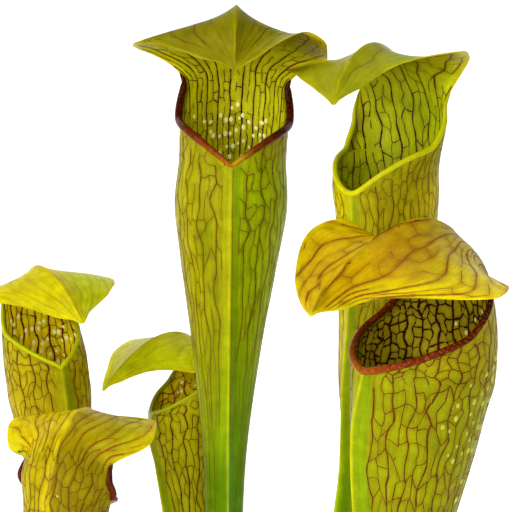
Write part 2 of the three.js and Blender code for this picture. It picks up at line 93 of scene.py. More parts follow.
def mesh_object(name, parts, materials, slot=None, smooth=True):
    """Mesh object in metres, at the origin. Each part has points in mm, groups of faces and its material's
    number, or one for each of the like shapes in it. Every piece of the plant rides on its one body."""
    faces, numbers, base = [], [], 0
    for points, groups, number in parts:
        number = np.atleast_1d(number)
        for group in groups:
            faces += (group + base).tolist()
            numbers.append(np.repeat(number, len(group) // len(number)))
        base += len(points)
    mesh = bpy.data.meshes.new(name)
    mesh.from_pydata((np.concatenate([part[0] for part in parts]) / 1000).tolist(), [], faces)
    mesh.polygons.foreach_set("use_smooth", np.full(len(faces), smooth))
    for one in materials:
        mesh.materials.append(one)
    mesh.polygons.foreach_set("material_index", np.concatenate(numbers).astype(np.int32))
    mesh.update()
    made = bpy.data.objects.new(name, mesh)
    bpy.context.scene.collection.objects.link(made)
    if slot:
        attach(made, "root")
    return made


WORLD_LIGHT = 0.28
world = bpy.data.worlds.new("studio")
world.use_nodes = True
bpy.context.scene.world = world
background = world.node_tree.nodes["Background"].inputs
background["Color"].default_value = (1, 1, 1, 1)
background["Strength"].default_value = WORLD_LIGHT

AIM = (0, 0, 0.25)
for name, place, width, watts in (("key_lamp", (-1.5, -1.2, 0.9), 0.6, 20),
                                  ("front_lamp", (-0.25, -2.2, 0.65), 0.9, 14),
                                  ("top_lamp", (-0.3, 0.3, 1.7), 0.9, 5)):
    lamp = bpy.data.objects.new(name, bpy.data.lights.new(name, "AREA"))
    lamp.data.size, lamp.data.energy, lamp.location = width, watts, place
    lamp.rotation_euler = (Vector(AIM) - Vector(place)).to_track_quat("-Z", "Y").to_euler()
    bpy.context.scene.collection.objects.link(lamp)

# the sweep in mm: a floor, a quarter turn and a wall
FRONT, BACK, BEND, TOP, HALF = -3000, 2600, 1200, 4000, 4000
bend = np.linspace(0, np.pi / 2, 24)
sweep_y = np.concatenate([[FRONT], BACK - BEND + BEND * np.sin(bend), [BACK]])
sweep_z = np.concatenate([[0], BEND - BEND * np.cos(bend), [TOP]])
left_edge = np.arange(len(sweep_y) - 1)
right_edge = left_edge + len(sweep_y)
mesh_object("sweep", [(
    np.stack([np.repeat([-HALF, HALF], len(sweep_y)), np.tile(sweep_y, 2), np.tile(sweep_z, 2)], 1),
    [np.stack([left_edge, right_edge, right_edge + 1, left_edge + 1], 1)], 0)], [plain_material("matt_paper", {
        "Base Color": paint("#fdfdfc"), "Roughness": 0.9, "Emission Color": paint("#ffffff"),
        "Emission Strength": 0.55})])

# Tall pitcher.
# One grown leaf: a hollow tube with a wing down its front, a column behind the mouth and a lid over it.
# Its tissue is thin and wet under a waxy cuticle, so light comes through. It grows from the rootstock.

# A pitcher's numbers, in mm and degrees: foot and mouth are the tube's ends, bow and lean bend it, turn and
# twist aim the mouth, girth and wing are its radius and wing against its height, neck to wrap shape the
# column, side and sag the mouth's edge, rise to over the curve to the lid's tip, and keel its ridge. Wide is
# the lid's half width, and fall and curl its drop, left and right. Sway and sweep are its drift.
GIRTH_AT = (0, 0.08, 0.3, 0.5, 0.7, 0.85, 0.94, 1)
WIDE_AT = (0, 0.3, 0.55, 0.8, 1)
BEND_AT = (0, 0.5, 1)
WING = ((0, 0.1, 0.4, 0.9, 1), (0, 2, 6, 2, 0))
TALL = dict(
    name="tall", foot=(-13.5, 12, 20), mouth=(-11, 50, 304), bow=-2.5, lean=0.04, turn=1, twist=-16,
    girth=(6.5, 5, 7.5, 9.5, 16, 23, 26.3, 25), wing=WING, neck=(23, 36.5), tilt=-3, neck_wide=26,
    neck_deep=25, wrap=70, side=0.17, sag=0.97, rise=26, tip=(-39.5, 44.5), back=1, over=58, keel=11,
    wide=((20, 47.5, 46.5, 40.5, 1), (20, 42.5, 42, 30, 1)), fall=((-3, 8.5, 8), (-2, 10.5, 2.5)),
    curl=((-5, 1, 1), (7.5, -2, -15.5)), sway=(-4, 4.5), sweep=(3.5, 4))

# shares: where the lid starts, how fast wing and keel fade, the tube's depth, where the tip flattens, and
# where the hollow ends
NECK, WING_HALF, CREASE, DEEP, TIP_FLAT, FLOOR = 0.34, 0.22, 0.25, 0.95, 0.93, 0.24
# in mm: the wall of the tube and of the lid's edge, and the steps between rows
WALL, EDGE_WALL, TUBE_STEP, TOP_STEP = 1.1, 0.5, 2.2, 1.3


def ease(x, a, b):
    """Smooth step from 0 at a to 1 at b."""
    t = np.clip((x - a) / (b - a), 0, 1)
    return t * t * (3 - 2 * t)


def along(shares, values, x):
    """Smooth curve through values at their shares, which never overshoots them."""
    xs, ys = np.array(shares, float), np.array(values, float)
    step = np.diff(xs)
    slope = np.diff(ys) / step
    product = slope[:-1] * slope[1:]
    total = np.where(product > 0, slope[:-1] + slope[1:], 1)
    lean = np.concatenate([slope[:1], np.where(product > 0, 2 * product / total, 0), slope[-1:]])
    i = np.clip(np.searchsorted(xs, x, side="right") - 1, 0, len(xs) - 2)
    t = np.clip((x - xs[i]) / step[i], 0, 1)
    rest = 1 - t
    start = rest ** 2 * (1 + 2 * t) * ys[i] + rest ** 2 * t * step[i] * lean[i]
    return start + t ** 2 * (3 - 2 * t) * ys[i + 1] - rest * t ** 2 * step[i] * lean[i + 1]


def bezier(four, t):
    """Cubic through four control points."""
    t = np.asarray(t)[..., None]
    a, b, c, d = np.asarray(four, float)
    return (1 - t) ** 3 * a + 3 * (1 - t) ** 2 * t * b + 3 * (1 - t) * t ** 2 * c + t ** 3 * d


def unit(v):
    """Directions of length 1."""
    return v / np.maximum(np.linalg.norm(v, axis=-1, keepdims=True), 1e-12)


def lid_share(v):
    """Share of the lid's length at a share of the upper leaf, 0 on the column."""
    return np.clip((v - NECK) / (1 - NECK), 0, 1)


def tube_frame(p, h):
    """Centre of the tube at a share of its height, with its upward, forward and sideways directions."""
    foot, mouth = np.array(p["foot"], float), np.array(p["mouth"], float)
    third = np.linalg.norm(mouth - foot) / 3
    low = foot + [p["bow"], 0, third]
    high = mouth - unit(np.array([p["lean"], 0, 1.0])) * third
    h = np.asarray(h, float)
    t = h[..., None]
    up = unit((1 - t) ** 2 * (low - foot) + 2 * (1 - t) * t * (high - low) + t ** 2 * (mouth - high))
    turn = np.radians(p["turn"] + p["twist"] * (1 - h))
    front = np.stack([-np.sin(turn), -np.cos(turn), 0 * turn], -1)
    front = unit(front - (front * up).sum(-1, keepdims=True) * up)
    return bezier([foot, low, high, mouth], h), up, front, np.cross(up, front)


def spine(p, v):
    """Middle line of the upper leaf, behind and above the mouth's centre: two cubics, column and lid."""
    neck, tip, tilt = np.array(p["neck"], float), np.array(p["tip"], float), math.radians(p["tilt"])
    way = np.array([math.sin(tilt), math.cos(tilt)])
    start = np.array([p["girth"][-1] * DEEP, 0])
    column = [start, start + [0, neck[1] * 0.4], neck - way * neck[1] * 0.33, neck]
    lid = [neck, neck + way * p["rise"], tip + [p["back"], p["over"]], tip]
    low, high = bezier(column, np.clip(v / NECK, 0, 1)), bezier(lid, lid_share(v))
    return np.where((v < NECK)[..., None], low, high)


def half_arc(p, v):
    """Half angle of the upper leaf's arc: all round at the mouth's lowest point, half round at its side."""
    sagged = np.clip(v / p["side"], 0, 1) ** p["sag"]
    above = np.pi / 2 + (math.radians(p["wrap"]) - np.pi / 2) * ease(v, p["side"], NECK)
    return np.where(v < p["side"], np.pi - np.arcsin(sagged), above)


def section(p, u, v):
    """Cross-section of the upper leaf: an open arc on the column that flattens into the keeled lid."""
    q, girth = np.abs(u), p["girth"][-1]
    half_angle = half_arc(p, v)
    blend = ease(v, 0.02, NECK)
    wide = girth + (p["neck_wide"] - girth) * blend
    deep = girth * DEEP + (p["neck_deep"] - girth * DEEP) * blend
    w = lid_share(v)
    half, fall, curl = (np.where(u < 0, along(at, p[key][0], w), along(at, p[key][1], w))
                        for key, at in (("wide", WIDE_AT), ("fall", BEND_AT), ("curl", BEND_AT)))
    keel = p["keel"] * np.sin(np.pi * w) ** 0.7 * (1 - np.exp(-q / CREASE))
    k = ease(w, 0, 0.35)
    x = np.where(u < 0, -1.0, 1.0) * (wide * np.sin(half_angle * q) * (1 - k) + half * q * k)
    x = x + p["sway"][0] * w ** 2 + p["sway"][1] * w ** 3
    flat = 1 - ease(w, TIP_FLAT, 1)
    depth = deep * (1 - np.cos(half_angle * q)) * (1 - k) + (keel + fall * q ** 2 + curl * q ** 4) * k * flat
    return np.stack([x, depth], -1)


def leaf_point(p, u, r, inset=0.0, winged=True):
    """Point of the leaf. u runs from edge to edge with 0 at the back, r from the foot (0) over the mouth's
    lowest point (1) to the lid's tip (2). The tube is an ellipse round its centre with the wing as a ridge;
    above it a section is carried along the spine. Inset moves the point in towards the hollow."""
    u, r, inset = np.broadcast_arrays(np.asarray(u, float), np.asarray(r, float), inset)
    h, v = np.clip(r, 0, 1), np.clip(r - 1, 0, 1)
    at, up, front, side = tube_frame(p, h)
    phi = np.pi * np.abs(u)
    girth = along(GIRTH_AT, p["girth"], h)
    wing = along(*p["wing"], h) * np.exp(-(np.pi - phi) / WING_HALF) * winged
    x = np.where(u < 0, -1, 1) * (girth - inset) * np.sin(phi)
    y = (girth * DEEP - inset) * np.cos(phi) - wing
    tube = at + x[..., None] * side - y[..., None] * front
    at, up, front, side = tube_frame(p, 1.0)
    e = 0.001
    middle = spine(p, v)
    way = unit(spine(p, np.clip(v + e, 0, 1)) - spine(p, np.clip(v - e, 0, 1)))
    tangent = unit(section(p, np.clip(u + e, -1, 1), v) - section(p, np.clip(u - e, -1, 1), v))
    here = section(p, u, v)
    x = here[..., 0] - inset * tangent[..., 1]
    depth = here[..., 1] + inset * tangent[..., 0]
    w = lid_share(v)
    shift = np.where(u < 0, *p["sweep"]) * u * u * ease(w, 0, 0.35) * (1 - ease(w, TIP_FLAT, 1))
    back = middle[..., 0] - depth * way[..., 1] + shift * way[..., 0]
    above = middle[..., 1] + depth * way[..., 0] + shift * way[..., 1]
    upper = at + x[..., None] * side - back[..., None] * front + above[..., None] * up
    return np.where((r <= 1)[..., None], tube, upper)


def wall_at(u, r):
    """Thickness of the leaf: full in the tube, thin at the lid's edge and tip."""
    thin = np.maximum(ease(np.abs(u), 0.5, 1) * ease(r, 1.15, 1.5), ease(lid_share(r - 1), 0.7, 1))
    return WALL + (EDGE_WALL - WALL) * thin


def skin_at(p, u, r, inner):
    """Points of the outside or the inside of the leaf, the directions straight out of that skin, from small
    steps that never cross the sharp bend at the mouth's height, and the skin's inset."""
    how = (wall_at(u, r), False) if inner else ()
    e = 0.002
    across = leaf_point(p, np.clip(u + e, -1, 1), r, *how) - leaf_point(p, np.clip(u - e, -1, 1), r, *how)
    low = np.where(r <= 1, np.clip(r - e, 0, 1), np.maximum(r - e, 1.0001))
    high = np.where(r <= 1, np.minimum(r + e, 1), np.clip(r + e, 1, 2))
    length = leaf_point(p, u, high, *how) - leaf_point(p, u, low, *how)
    return leaf_point(p, u, r, *how), unit(np.cross(length, across)) * (-1 if inner else 1), how


def set_tint(mesh, colours):
    """Stores the painted colour of each point, which the skin's material reads."""
    layer = mesh.color_attributes.new("tint", "FLOAT_COLOR", "POINT")
    layer.data.foreach_set("color", np.insert(colours, 3, 1, axis=1).ravel())


def build_leaf(p, columns, look, nets):
    """The whole pitcher as one closed skin: outside, inside of the hollow, a rounded edge, a closed stalk and
    the hollow's floor, with a UV map. Rows lie closer towards the mouth, and columns towards the edges."""
    tube = np.linalg.norm(np.subtract(p["mouth"], p["foot"]))
    top = np.linalg.norm(np.diff(spine(p, np.linspace(0, 1, 200)), axis=0), axis=1).sum()
    rows = np.concatenate([np.linspace(0, 1, int(tube / TUBE_STEP) + 1) ** 0.7,
                           np.linspace(1, 2, int(top / TOP_STEP) + 1)[1:]])
    first, floor = np.searchsorted(rows, [1.0, FLOOR])
    t = np.linspace(-1, 1, columns + 1)
    grid_u, grid_r = np.meshgrid(np.sign(t) * (1 - (1 - np.abs(t)) ** 1.3), np.concatenate([rows, rows[floor:]]))
    ids = np.arange(grid_u.size).reshape(grid_u.shape)
    u, r = grid_u.ravel(), grid_r.ravel()
    inside = (ids.ravel() >= len(rows) * len(t)).astype(float)
    points = leaf_point(p, u, r, inside * wall_at(u, r), inside == 0)
    rise = np.linspace(0, 1, len(rows)) * 0.98 + 0.01
    chart = np.stack([np.where(inside, (u + 1) / 2 * 0.43 + 0.5, (u + 1) / 2 * 0.47 + 0.01),
                      np.repeat(np.concatenate([rise, rise[floor:]]), len(t))], 1)
    # on the tube the last column is the first one, because the tube is closed at the wing
    ring = np.where((grid_r <= 1) & (ids % len(t) == columns), ids - columns, ids)
    (outer, inner), (outer_ids, inner_ids) = (np.split(one, [len(rows)]) for one in (ring, ids))

    def quads(grid):
        return np.stack([grid[:-1, :-1], grid[1:, :-1], grid[1:, 1:], grid[:-1, 1:]], -1).reshape(-1, 4)

    turned = [0, 3, 2, 1]
    faces = [quads(outer), quads(inner)[:, turned]]
    maps = [chart[quads(outer_ids)], chart[quads(inner_ids)[:, turned]]]
    # rounded edge round the mouth and the lid, with a middle row pushed outwards
    edge_out, edge_in = (np.concatenate([grid[row:, 0], grid[-1, 1:], grid[row + 1:-1, -1][::-1]])
                         for grid, row in ((outer, first), (inner, first - floor)))
    inward = np.concatenate([
        outer[first - 1:first, 0], outer[first + 1:, 1], outer[-2, 1:], outer[first + 1:-1, -2][::-1]])
    gap = np.linalg.norm(points[edge_out] - points[edge_in], axis=1)[:, None]
    middle = (points[edge_out] + points[edge_in]) / 2 + unit(points[edge_out] - points[inward]) * gap * 0.35
    count = len(middle)
    middle_id = len(points) + np.arange(count)
    edge_v = (np.arange(count + 1) / count * 0.98 + 0.01)[np.arange(count)[:, None] + [0, 0, 1, 1]]
    for low, high, left, right in ((edge_out, middle_id, 0.945, 0.965), (middle_id, edge_in, 0.965, 0.985)):
        faces.append(np.stack([low, high, np.roll(high, -1), np.roll(low, -1)], 1))
        maps.append(np.stack([0 * edge_v + [left, right, right, left], edge_v], -1))
    # closed stalk and floor of the hollow
    points = np.concatenate([points, middle, tube_frame(p, [0, FLOOR])[0]])
    hub = np.full(columns, len(points) - 2)
    fans = np.concatenate([np.stack([outer[0, :-1], outer[0, 1:], hub], 1),
                           np.stack([hub + 1, inner[0, 1:], inner[0, :-1]], 1)])
    used, flat = np.unique(np.concatenate([np.concatenate(faces).ravel(), fans.ravel()]), return_inverse=True)
    fours, threes = np.split(flat, [-fans.size])
    made = mesh_object("leaf_" + p["name"], [
        (points[used], [fours.reshape(-1, 4), threes.reshape(-1, 3)], 0)], [outer_skin, inner_skin], "leaf")
    numbers = np.zeros(len(made.data.polygons), np.int32)
    numbers[len(faces[0]):][:len(faces[1])] = 1
    made.data.polygons.foreach_set("material_index", numbers)
    layer = made.data.uv_layers.new(name="OFBake")
    flat = np.concatenate([np.concatenate(maps).reshape(-1, 2), np.full((fans.size, 2), 0.99)])
    layer.data.foreach_set("uv", flat.ravel().astype(np.float32))
    colours, net = paint_leaf(
        p, look, nets, np.concatenate([u, u[edge_out], [0, 0]]), np.concatenate([r, r[edge_out], [0, FLOOR]]),
        np.concatenate([inside, np.full(count, 0.5), [0, 1]]))
    set_tint(made.data, colours[used])
    layer = made.data.attributes.new("net", "FLOAT", "POINT")
    layer.data.foreach_set("value", net[used].astype(np.float32))
    return made


# how far the veins fan out over the lid, the net field's grid to a cell, and where the cells' lengths hold
FAN, BINS = 1.3, 12
CELLS_AT = {7: (0, 0.4, 0.6, 0.8, 1, 1.3, 2), 5: (0, 0.6, 0.9, 1.3, 2), 3: (0, 1.2, 2)}


def fan_out(p, r):
    """How far out a vein runs at r: on the column it keeps its angle, so that the outer ones end at the
    mouth's edge, and over the lid the veins spread."""
    v = np.clip(r - 1, 0, 1)
    return np.pi / half_arc(p, v) * (1 + FAN * lid_share(v) ** 1.2)


def cell_rows(p, cells):
    """Table of r against the count of net cells from the foot, for cells of the given lengths in mm."""
    r = np.linspace(0, 2, 801)
    tube = np.linalg.norm(np.subtract(p["mouth"], p["foot"]))
    way = spine(p, np.clip(r - 1, 0, 1))
    speed = np.concatenate([[0], np.linalg.norm(np.diff(way, axis=0), axis=1)])
    speed = np.where(r <= 1, tube * (r[1] - r[0]), speed)
    count = np.cumsum(speed / along(CELLS_AT[len(cells)], cells, r))
    return r, count - count[0]


def vein_net(p, start, seed, lines, cells, inner=False, pull=0.55, wave=0.4, gaps=(0.08, 0.2), cross_low=0.7):
    """The net of veins. Seeds stand in columns, one for each cell, and every edge halfway between two seeds
    is a vein. Every second line is a main vein, pulled straight, and wave bends them all slowly. Gaps are
    the shares of fine lengthwise and crosswise veins left out, and cross_low that share low on the tube.
    Returns the middle lines as u and r, their kind (2 main, 1 lengthwise, 0 across), the cells' middles, and
    a field of the net on a grid, from which the colour round it is read."""
    rng = np.random.default_rng(seed)
    table_r, table_y = cell_rows(p, cells)
    y0, y1 = np.interp(start, table_r, table_y), table_y[-1]
    i, j = np.meshgrid(np.arange(-2, lines + 2), np.arange(int(y0) - 2, int(y1) + 3), indexing="ij")
    phase = rng.random(lines + 4)[:, None]
    x = i + 0.5 + 0.6 * (rng.random(i.shape) - 0.5)
    y = j + phase + 0.6 * (rng.random(i.shape) - 0.5)
    seeds = [Vector(s) for s in np.stack([x, y], -1).reshape(-1, 2).tolist()]
    placed, _, triangles, origin, _, _ = delaunay_2d_cdt(seeds, [], [], 0, 1e-9)
    placed, tri = np.array([tuple(q) for q in placed]), np.array(triangles)
    column = i.ravel()[[o[0] for o in origin]]
    # the middle of the circle through three seeds is where their edges meet
    a, b, c = (placed[tri[:, k]] for k in range(3))
    ab, ac = b - a, c - a
    twice = 2 * (ab[:, 0] * ac[:, 1] - ab[:, 1] * ac[:, 0])
    twice = np.where(np.abs(twice) < 1e-6, 1e-6, twice)[:, None]
    lean = ac * (ab ** 2).sum(1)[:, None] - ab * (ac ** 2).sum(1)[:, None]
    hub = a + lean[:, ::-1] * [1, -1] / twice
    # two triangles that share a side give one vein between their hubs
    sides = np.sort(np.concatenate([tri[:, [0, 1]], tri[:, [1, 2]], tri[:, [2, 0]]]), axis=1)
    order = np.lexsort(sides.T[::-1])
    same = np.flatnonzero((sides[order[1:]] == sides[order[:-1]]).all(1))
    pair = column[sides[order[same]]]
    kind = np.where(pair[:, 0] == pair[:, 1], 0, np.where(pair.max(1) % 2 == 0, 2, 1))
    # hubs move towards the nearest line, and more towards a main one
    nearest = np.round(hub[:, 0])
    hub[:, 0] += np.where(nearest % 2 == 0, pull, pull * 0.3) * (nearest - hub[:, 0])
    both = hub[order[np.stack([same, same + 1])] % len(tri)]
    inside = ((both > [0.1, y0]) & (both < [lines - 0.1, y1 - 0.1])).all((0, 2))
    inside &= np.linalg.norm(both[1] - both[0], axis=1) < 3
    low = 1 - ease(np.interp(both[0, :, 1], table_y, table_r), 0.45, 0.8)
    left_out = np.where(kind == 0, gaps[1] + (cross_low - gaps[1]) * low, gaps[0] + 0.4 * low)
    inside &= (kind == 2) | (rng.random(len(same)) > left_out)
    both, kind = both[:, inside], kind[inside]
    a, b, c, d = rng.random(4) * 2 * np.pi

    def run_of(count):
        """Points along each vein, with slow waves sideways and lengthwise, as sums of sines."""
        run = both[0][:, None] + (both[1] - both[0])[:, None] * np.linspace(0, 1, count)[:, None]
        x, y = run[..., 0], run[..., 1]
        side = 0.5 * np.sin(1.5 * y + 0.8 * x + a) + 0.35 * np.sin(2.7 * y - 1.3 * x + b)
        length = 0.5 * np.sin(1.9 * x + 0.6 * y + c) + 0.3 * np.sin(3.1 * x - 0.9 * y + d)
        return x + wave * side * ease(np.minimum(x, lines - x), 0, 2), y + wave * length

    def on_leaf(x, y):
        r = np.interp(y, table_y, table_r)
        return (2 * x / lines - 1) * fan_out(p, r), r

    u, r = on_leaf(*run_of(4))
    shown = (np.abs(u) < 0.985).all(1)
    field = np.zeros((lines * BINS, int(y1 + 2) * BINS))
    ix, iy = (np.clip((k * BINS).astype(int), 0, most - 1) for k, most in zip(run_of(30), field.shape))
    np.maximum.at(field, (ix, iy), np.broadcast_to(np.array([0.5, 0.6, 1.0])[kind][:, None], ix.shape))
    blur = 1.7
    for _ in (0, 1):
        kernel = np.exp(-2 * (np.pi * np.fft.fftfreq(len(field)) * blur) ** 2)[:, None]
        field = np.fft.ifft(np.fft.fft(field, axis=0) * kernel, axis=0).real.T
    field = np.clip(field * math.sqrt(2 * np.pi) * blur, 0, 1.3)
    return dict(p=p, u=u[shown], r=r[shown], kind=kind[shown], cells=on_leaf(*placed.T), inner=inner,
                lines=lines, table=(table_y, table_r), field=field)


def net_at(net, u, r):
    """Strength of the net at u and r, read from its field."""
    f = net["field"]
    x = (u / fan_out(net["p"], r) + 1) / 2 * net["lines"] * BINS - 0.5
    y = np.interp(r, *net["table"][::-1]) * BINS - 0.5
    x, y = np.clip(x, 0, len(f) - 1.001), np.clip(y, 0, f.shape[1] - 1.001)
    i, j = x.astype(int), y.astype(int)
    s, t = x - i, y - j
    low = f[i, j] * (1 - s) + f[i + 1, j] * s
    return low * (1 - t) + (f[i, j + 1] * (1 - s) + f[i + 1, j + 1] * s) * t


def tube_faces(rings, sides, fans=True):
    """Faces of rings of points closed round, and at each end a fan to one of the two points that follow the
    rings, or without fans one flat face."""
    index = np.arange(rings * sides).reshape(rings, sides)
    after = np.roll(index, -1, axis=1)
    quads = np.stack([index[:-1], index[1:], after[1:], after[:-1]], -1).reshape(-1, 4)
    if not fans:
        return [quads, index[:1], index[-1:, ::-1]]
    hub = np.full(sides, rings * sides)
    return [quads, np.stack([index[0], after[0], hub], 1), np.stack([after[-1], index[-1], hub + 1], 1)]


def copies(faces, points):
    """The same faces for each of many like shapes, given their points."""
    start = np.arange(len(points))[:, None, None] * points[0].size // 3
    return [(start + one).reshape(-1, one.shape[1]) for one in faces]


RIB_SINK, RIB_RISE = 0.05, 0.05


def build_veins(p, groups):
    """All veins of one pitcher: low three-sided ribs, with a base just under the skin and a crest over it.
    Each group has points, widths in mm and materials of veins on one side of the leaf."""
    parts = []
    for u, r, width, number, inner in groups:
        at, normal, _ = skin_at(p, u, r, inner)
        half = unit(np.cross(normal, unit(np.gradient(at, axis=1)))) * (width / 2)[..., None]
        low = at - normal * RIB_SINK
        crest = at + normal * (RIB_RISE + 0.05 * np.minimum(width, 1.3))[..., None]
        ring = np.stack([low + half, low - half, crest], 2)
        parts.append((ring.reshape(-1, 3), copies(tube_faces(u.shape[1], 3, False), ring), number))
    mesh_object("veins_leaf_" + p["name"], parts, VEINS, "leaf", False)


def leaf_skin(name, thin):
    """Leaf skin: a waxy cuticle over thin wet tissue, with a soft gloss and a glow where light comes through.
    Object patterns give a mottle of about 7 mm and a grain of about 0.8 mm, and the leaf's own map gives
    fibres that run up it, about 1.2 mm apart and 25 mm long."""
    made, add = new_material(name)
    where = add("TexCoord").outputs["Object"]
    drawn = add("Mapping", {"Vector": add("UVMap", uv_map="OFBake"), "Scale": (280.0, 16.0, 1.0)})
    mottle = add("TexNoise", {"Vector": where, "Scale": 140.0, "Detail": 3.0, "Roughness": 0.55})
    grain = add("TexNoise", {"Vector": where, "Scale": 1200.0, "Roughness": 0.6})
    fibre = add("TexNoise", {"Vector": drawn, "Scale": 1.0})
    colour = add("VertexColor", layer_name="tint")
    for pattern, dark, bright in ((mottle, 0.84, 1.14), (grain, 0.93, 1.07), (fibre, 0.86, 1.1)):
        shade = add("MapRange", {
            "Value": pattern, "From Min": 0.3, "From Max": 0.7, "To Min": dark, "To Max": bright})
        colour = add("VectorMath", {0: colour, "Scale": shade}, operation="SCALE")
    net = add("Attribute", attribute_name="net").outputs["Fac"]
    puff = add("Math", {0: net, 1: -1.0, 2: grain}, operation="MULTIPLY_ADD")
    add("OutputMaterial", {"Surface": add("BsdfPrincipled", {
        "Base Color": colour, "Roughness": 0.32, "IOR": 1.25, "Specular IOR Level": 0.12,
        "Normal": add("Bump", {"Height": puff, "Strength": 0.45, "Distance": 0.0005}),
        "Subsurface Weight": thin, "Subsurface Radius": (0.0030, 0.0026, 0.0004), "Subsurface Scale": 1.0})})
    return made


outer_skin = leaf_skin("waxy_leaf_skin", 0.75)
inner_skin = leaf_skin("waxy_leaf_inside", 0.85)

# Veins: strands that carry the red sap just under the skin, duller than it, with a slight gloss. They are
# under 2 mm wide, so each is one plain colour, and a leaf's veins have several.
VEINS = [plain_material("vein_" + name, {"Base Color": paint(hexa), "Roughness": 0.5, "Specular IOR Level": 0.06})
         for name, hexa in (("maroon", "#4c0c07"), ("red_brown", "#5e3602"), ("olive", "#6a5f04"),
                            ("green", "#5b7a04"), ("amber", "#9a5604"), ("brown", "#6a4000"),
                            ("wine", "#74120a"), ("rust", "#8a4204"))]
MAROON, RED_BROWN, OLIVE, GREEN, AMBER, BROWN, WINE, RUST = range(len(VEINS))


def mix(a, b, share):
    """Colour between a and b."""
    return a + (b - a) * np.asarray(share)[..., None]


def rgb(hexa):
    """A colour's three linear parts."""
    return np.array(paint(hexa)[:3])


# above this r a lid's own net takes over
LID_FROM = 1.36


def paint_leaf(p, look, nets, u, r, inside):
    """Painted colour of a pitcher and the strength of its net: a green stalk, a yellow-green tube, greener on its
    far side from the light, partly its own tone and partly painted light and shade, then the column and the lid,
    whose far side is painted light and shade. The wing has a bright crest with a smooth band to each side, the
    paler one painted light and the darker one painted shade, the edges are pale, the keel's pale line is partly a
    painted highlight, the inside by the mouth's edges is darkened as painted shade, and the skin is browner near
    the veins."""
    c = {key: rgb(value) for key, value in look.items() if isinstance(value, str)}
    w = lid_share(r - 1)
    outside, hollow = inside < 0.5, inside > 0.9
    low = 1 - ease(r, 0.35, 0.85)
    # the far side's colour is partly its own greener tone and partly painted light and shade
    out = mix(mix(c["tube"], c["stalk"], low), mix(c["far"], c["far_low_shaded"], low), ease(u, *look["far_shade_from"]))
    out = mix(out, c["column"], ease(r, 0.96, 1.12))
    out = mix(out, c["lid"], ease(w, 0, 0.35))
    # the lid's far side: painted light and shade, lighter on some pitchers and darker on others
    out = mix(out, c["lid_far_shading"], ease(w, 0, 0.35) * ease(u, *look["lid_shading_from"]))
    out = mix(out, mix(c["throat"], c["under"], ease(w, 0.05, 0.45)), hollow)
    # distance from the wing's crest in mm
    off = (1 - np.abs(u)) * np.pi * along(GIRTH_AT, p["girth"], np.clip(r, 0, 1))
    winged = outside * (r < 1.01) * ease(r, 0.2, 0.35)
    band = winged * ease(off, *look["band"])
    # the band on one side of the wing is paler, painted light, and on the other darker, painted shade, over the
    # strip left free of veins
    high_lit_shaded_band = mix(rgb(look["lit_and_shaded_bands"][0]), rgb(look["lit_and_shaded_bands"][1]), u > 0)
    low_lit_shaded_band = mix(rgb("#70a804"), rgb("#488402"), u > 0)
    out = mix(out, mix(high_lit_shaded_band, low_lit_shaded_band, low), 0.7 * band)
    out = mix(out, mix(c["wing"], rgb("#a8cc04"), low), 0.8 * winged * np.exp(-(off / 0.8) ** 2))
    out = mix(out, c["edge"], 0.6 * ease(np.abs(u), 0.9, 1.0) * ease(r, 1.3, 1.4))
    # the pale line down the keel is partly its pale midrib and partly a painted highlight on the ridge
    keel = np.exp(-(u / look["keel"]) ** 2) * ease(r, look["ridge"] - 0.1, look["ridge"] + 0.1) * outside
    out = mix(out, c["edge"], 0.6 * keel)
    # soft patches: middle and half size as u and r, colour and strength
    for at_u, at_r, half_u, half_r, hexa, share in look["patches"]:
        spot = np.exp(-((u - at_u) / half_u) ** 2 - ((r - at_r) / half_r) ** 2) * outside
        out = mix(out, rgb(hexa), share * spot)
    out = out * (1 - look["shade"][2] * ease(u, *look["shade"][:2]) * ease(r, 0.7, 0.9) * outside)[..., None]
    on_lid = ease(r, LID_FROM - 0.03, LID_FROM + 0.03)
    net = net_at(nets[0], u, r) * (1 - on_lid) + net_at(nets[2], u, r) * on_lid
    net = np.where(hollow, net_at(nets[1], u, r) * ease(r, 0.4, 0.7), net * ease(r, 0.3, 0.8)) * (1 - band)
    stained = np.where(hollow, 0.3, 0.45 + (look["lid_stain"] - 0.45) * ease(r, 1.2, 1.4))
    out = mix(out, mix(c["stain_out"], c["stain_in"], hollow), np.clip(stained * net, 0, 0.95))
    # painted shade: the inside by the mouth's edges, near the lip and column, is darkened
    rim_shade = ease(np.abs(u), 0.72, 1.0) * ease(r, 1.02, 1.1) * (1 - ease(r, 1.3, 1.45)) * (inside > 0.4)
    return mix(out, c["rim_shade"], 0.75 * rim_shade), net


# Colours of a pale pitcher, on the sunny and the far side and low on it, and where each begins. The far side's
# colour is partly painted shade, the lid's far side and the band on each side of the wing are painted light and
# shade, and the darkening inside the mouth's edges is painted shade. The others are given by what differs.
PALE_LOOK = dict(
    stalk="#6a9202", tube="#a8a204", far="#a4a804", far_low_shaded="#5c8c02", far_shade_from=(0.05, 0.3), column="#a09a04",
    lid="#7e7a02", lid_far_shading="#7e7a02", lid_shading_from=(0.0, 0.5), throat="#c4c410", under="#767004", wing="#c4bc0c",
    lit_and_shaded_bands=("#acae06", "#7e9404"), edge="#b8ac04", stain_out="#6f6a02", stain_in="#5a5204", rim_shade="#4a4404",
    lid_stain=0.2, ridge=1.44, keel=0.03, shade=(0.0, 0.5, 0.0), band=(4.4, 3.0), patches=())


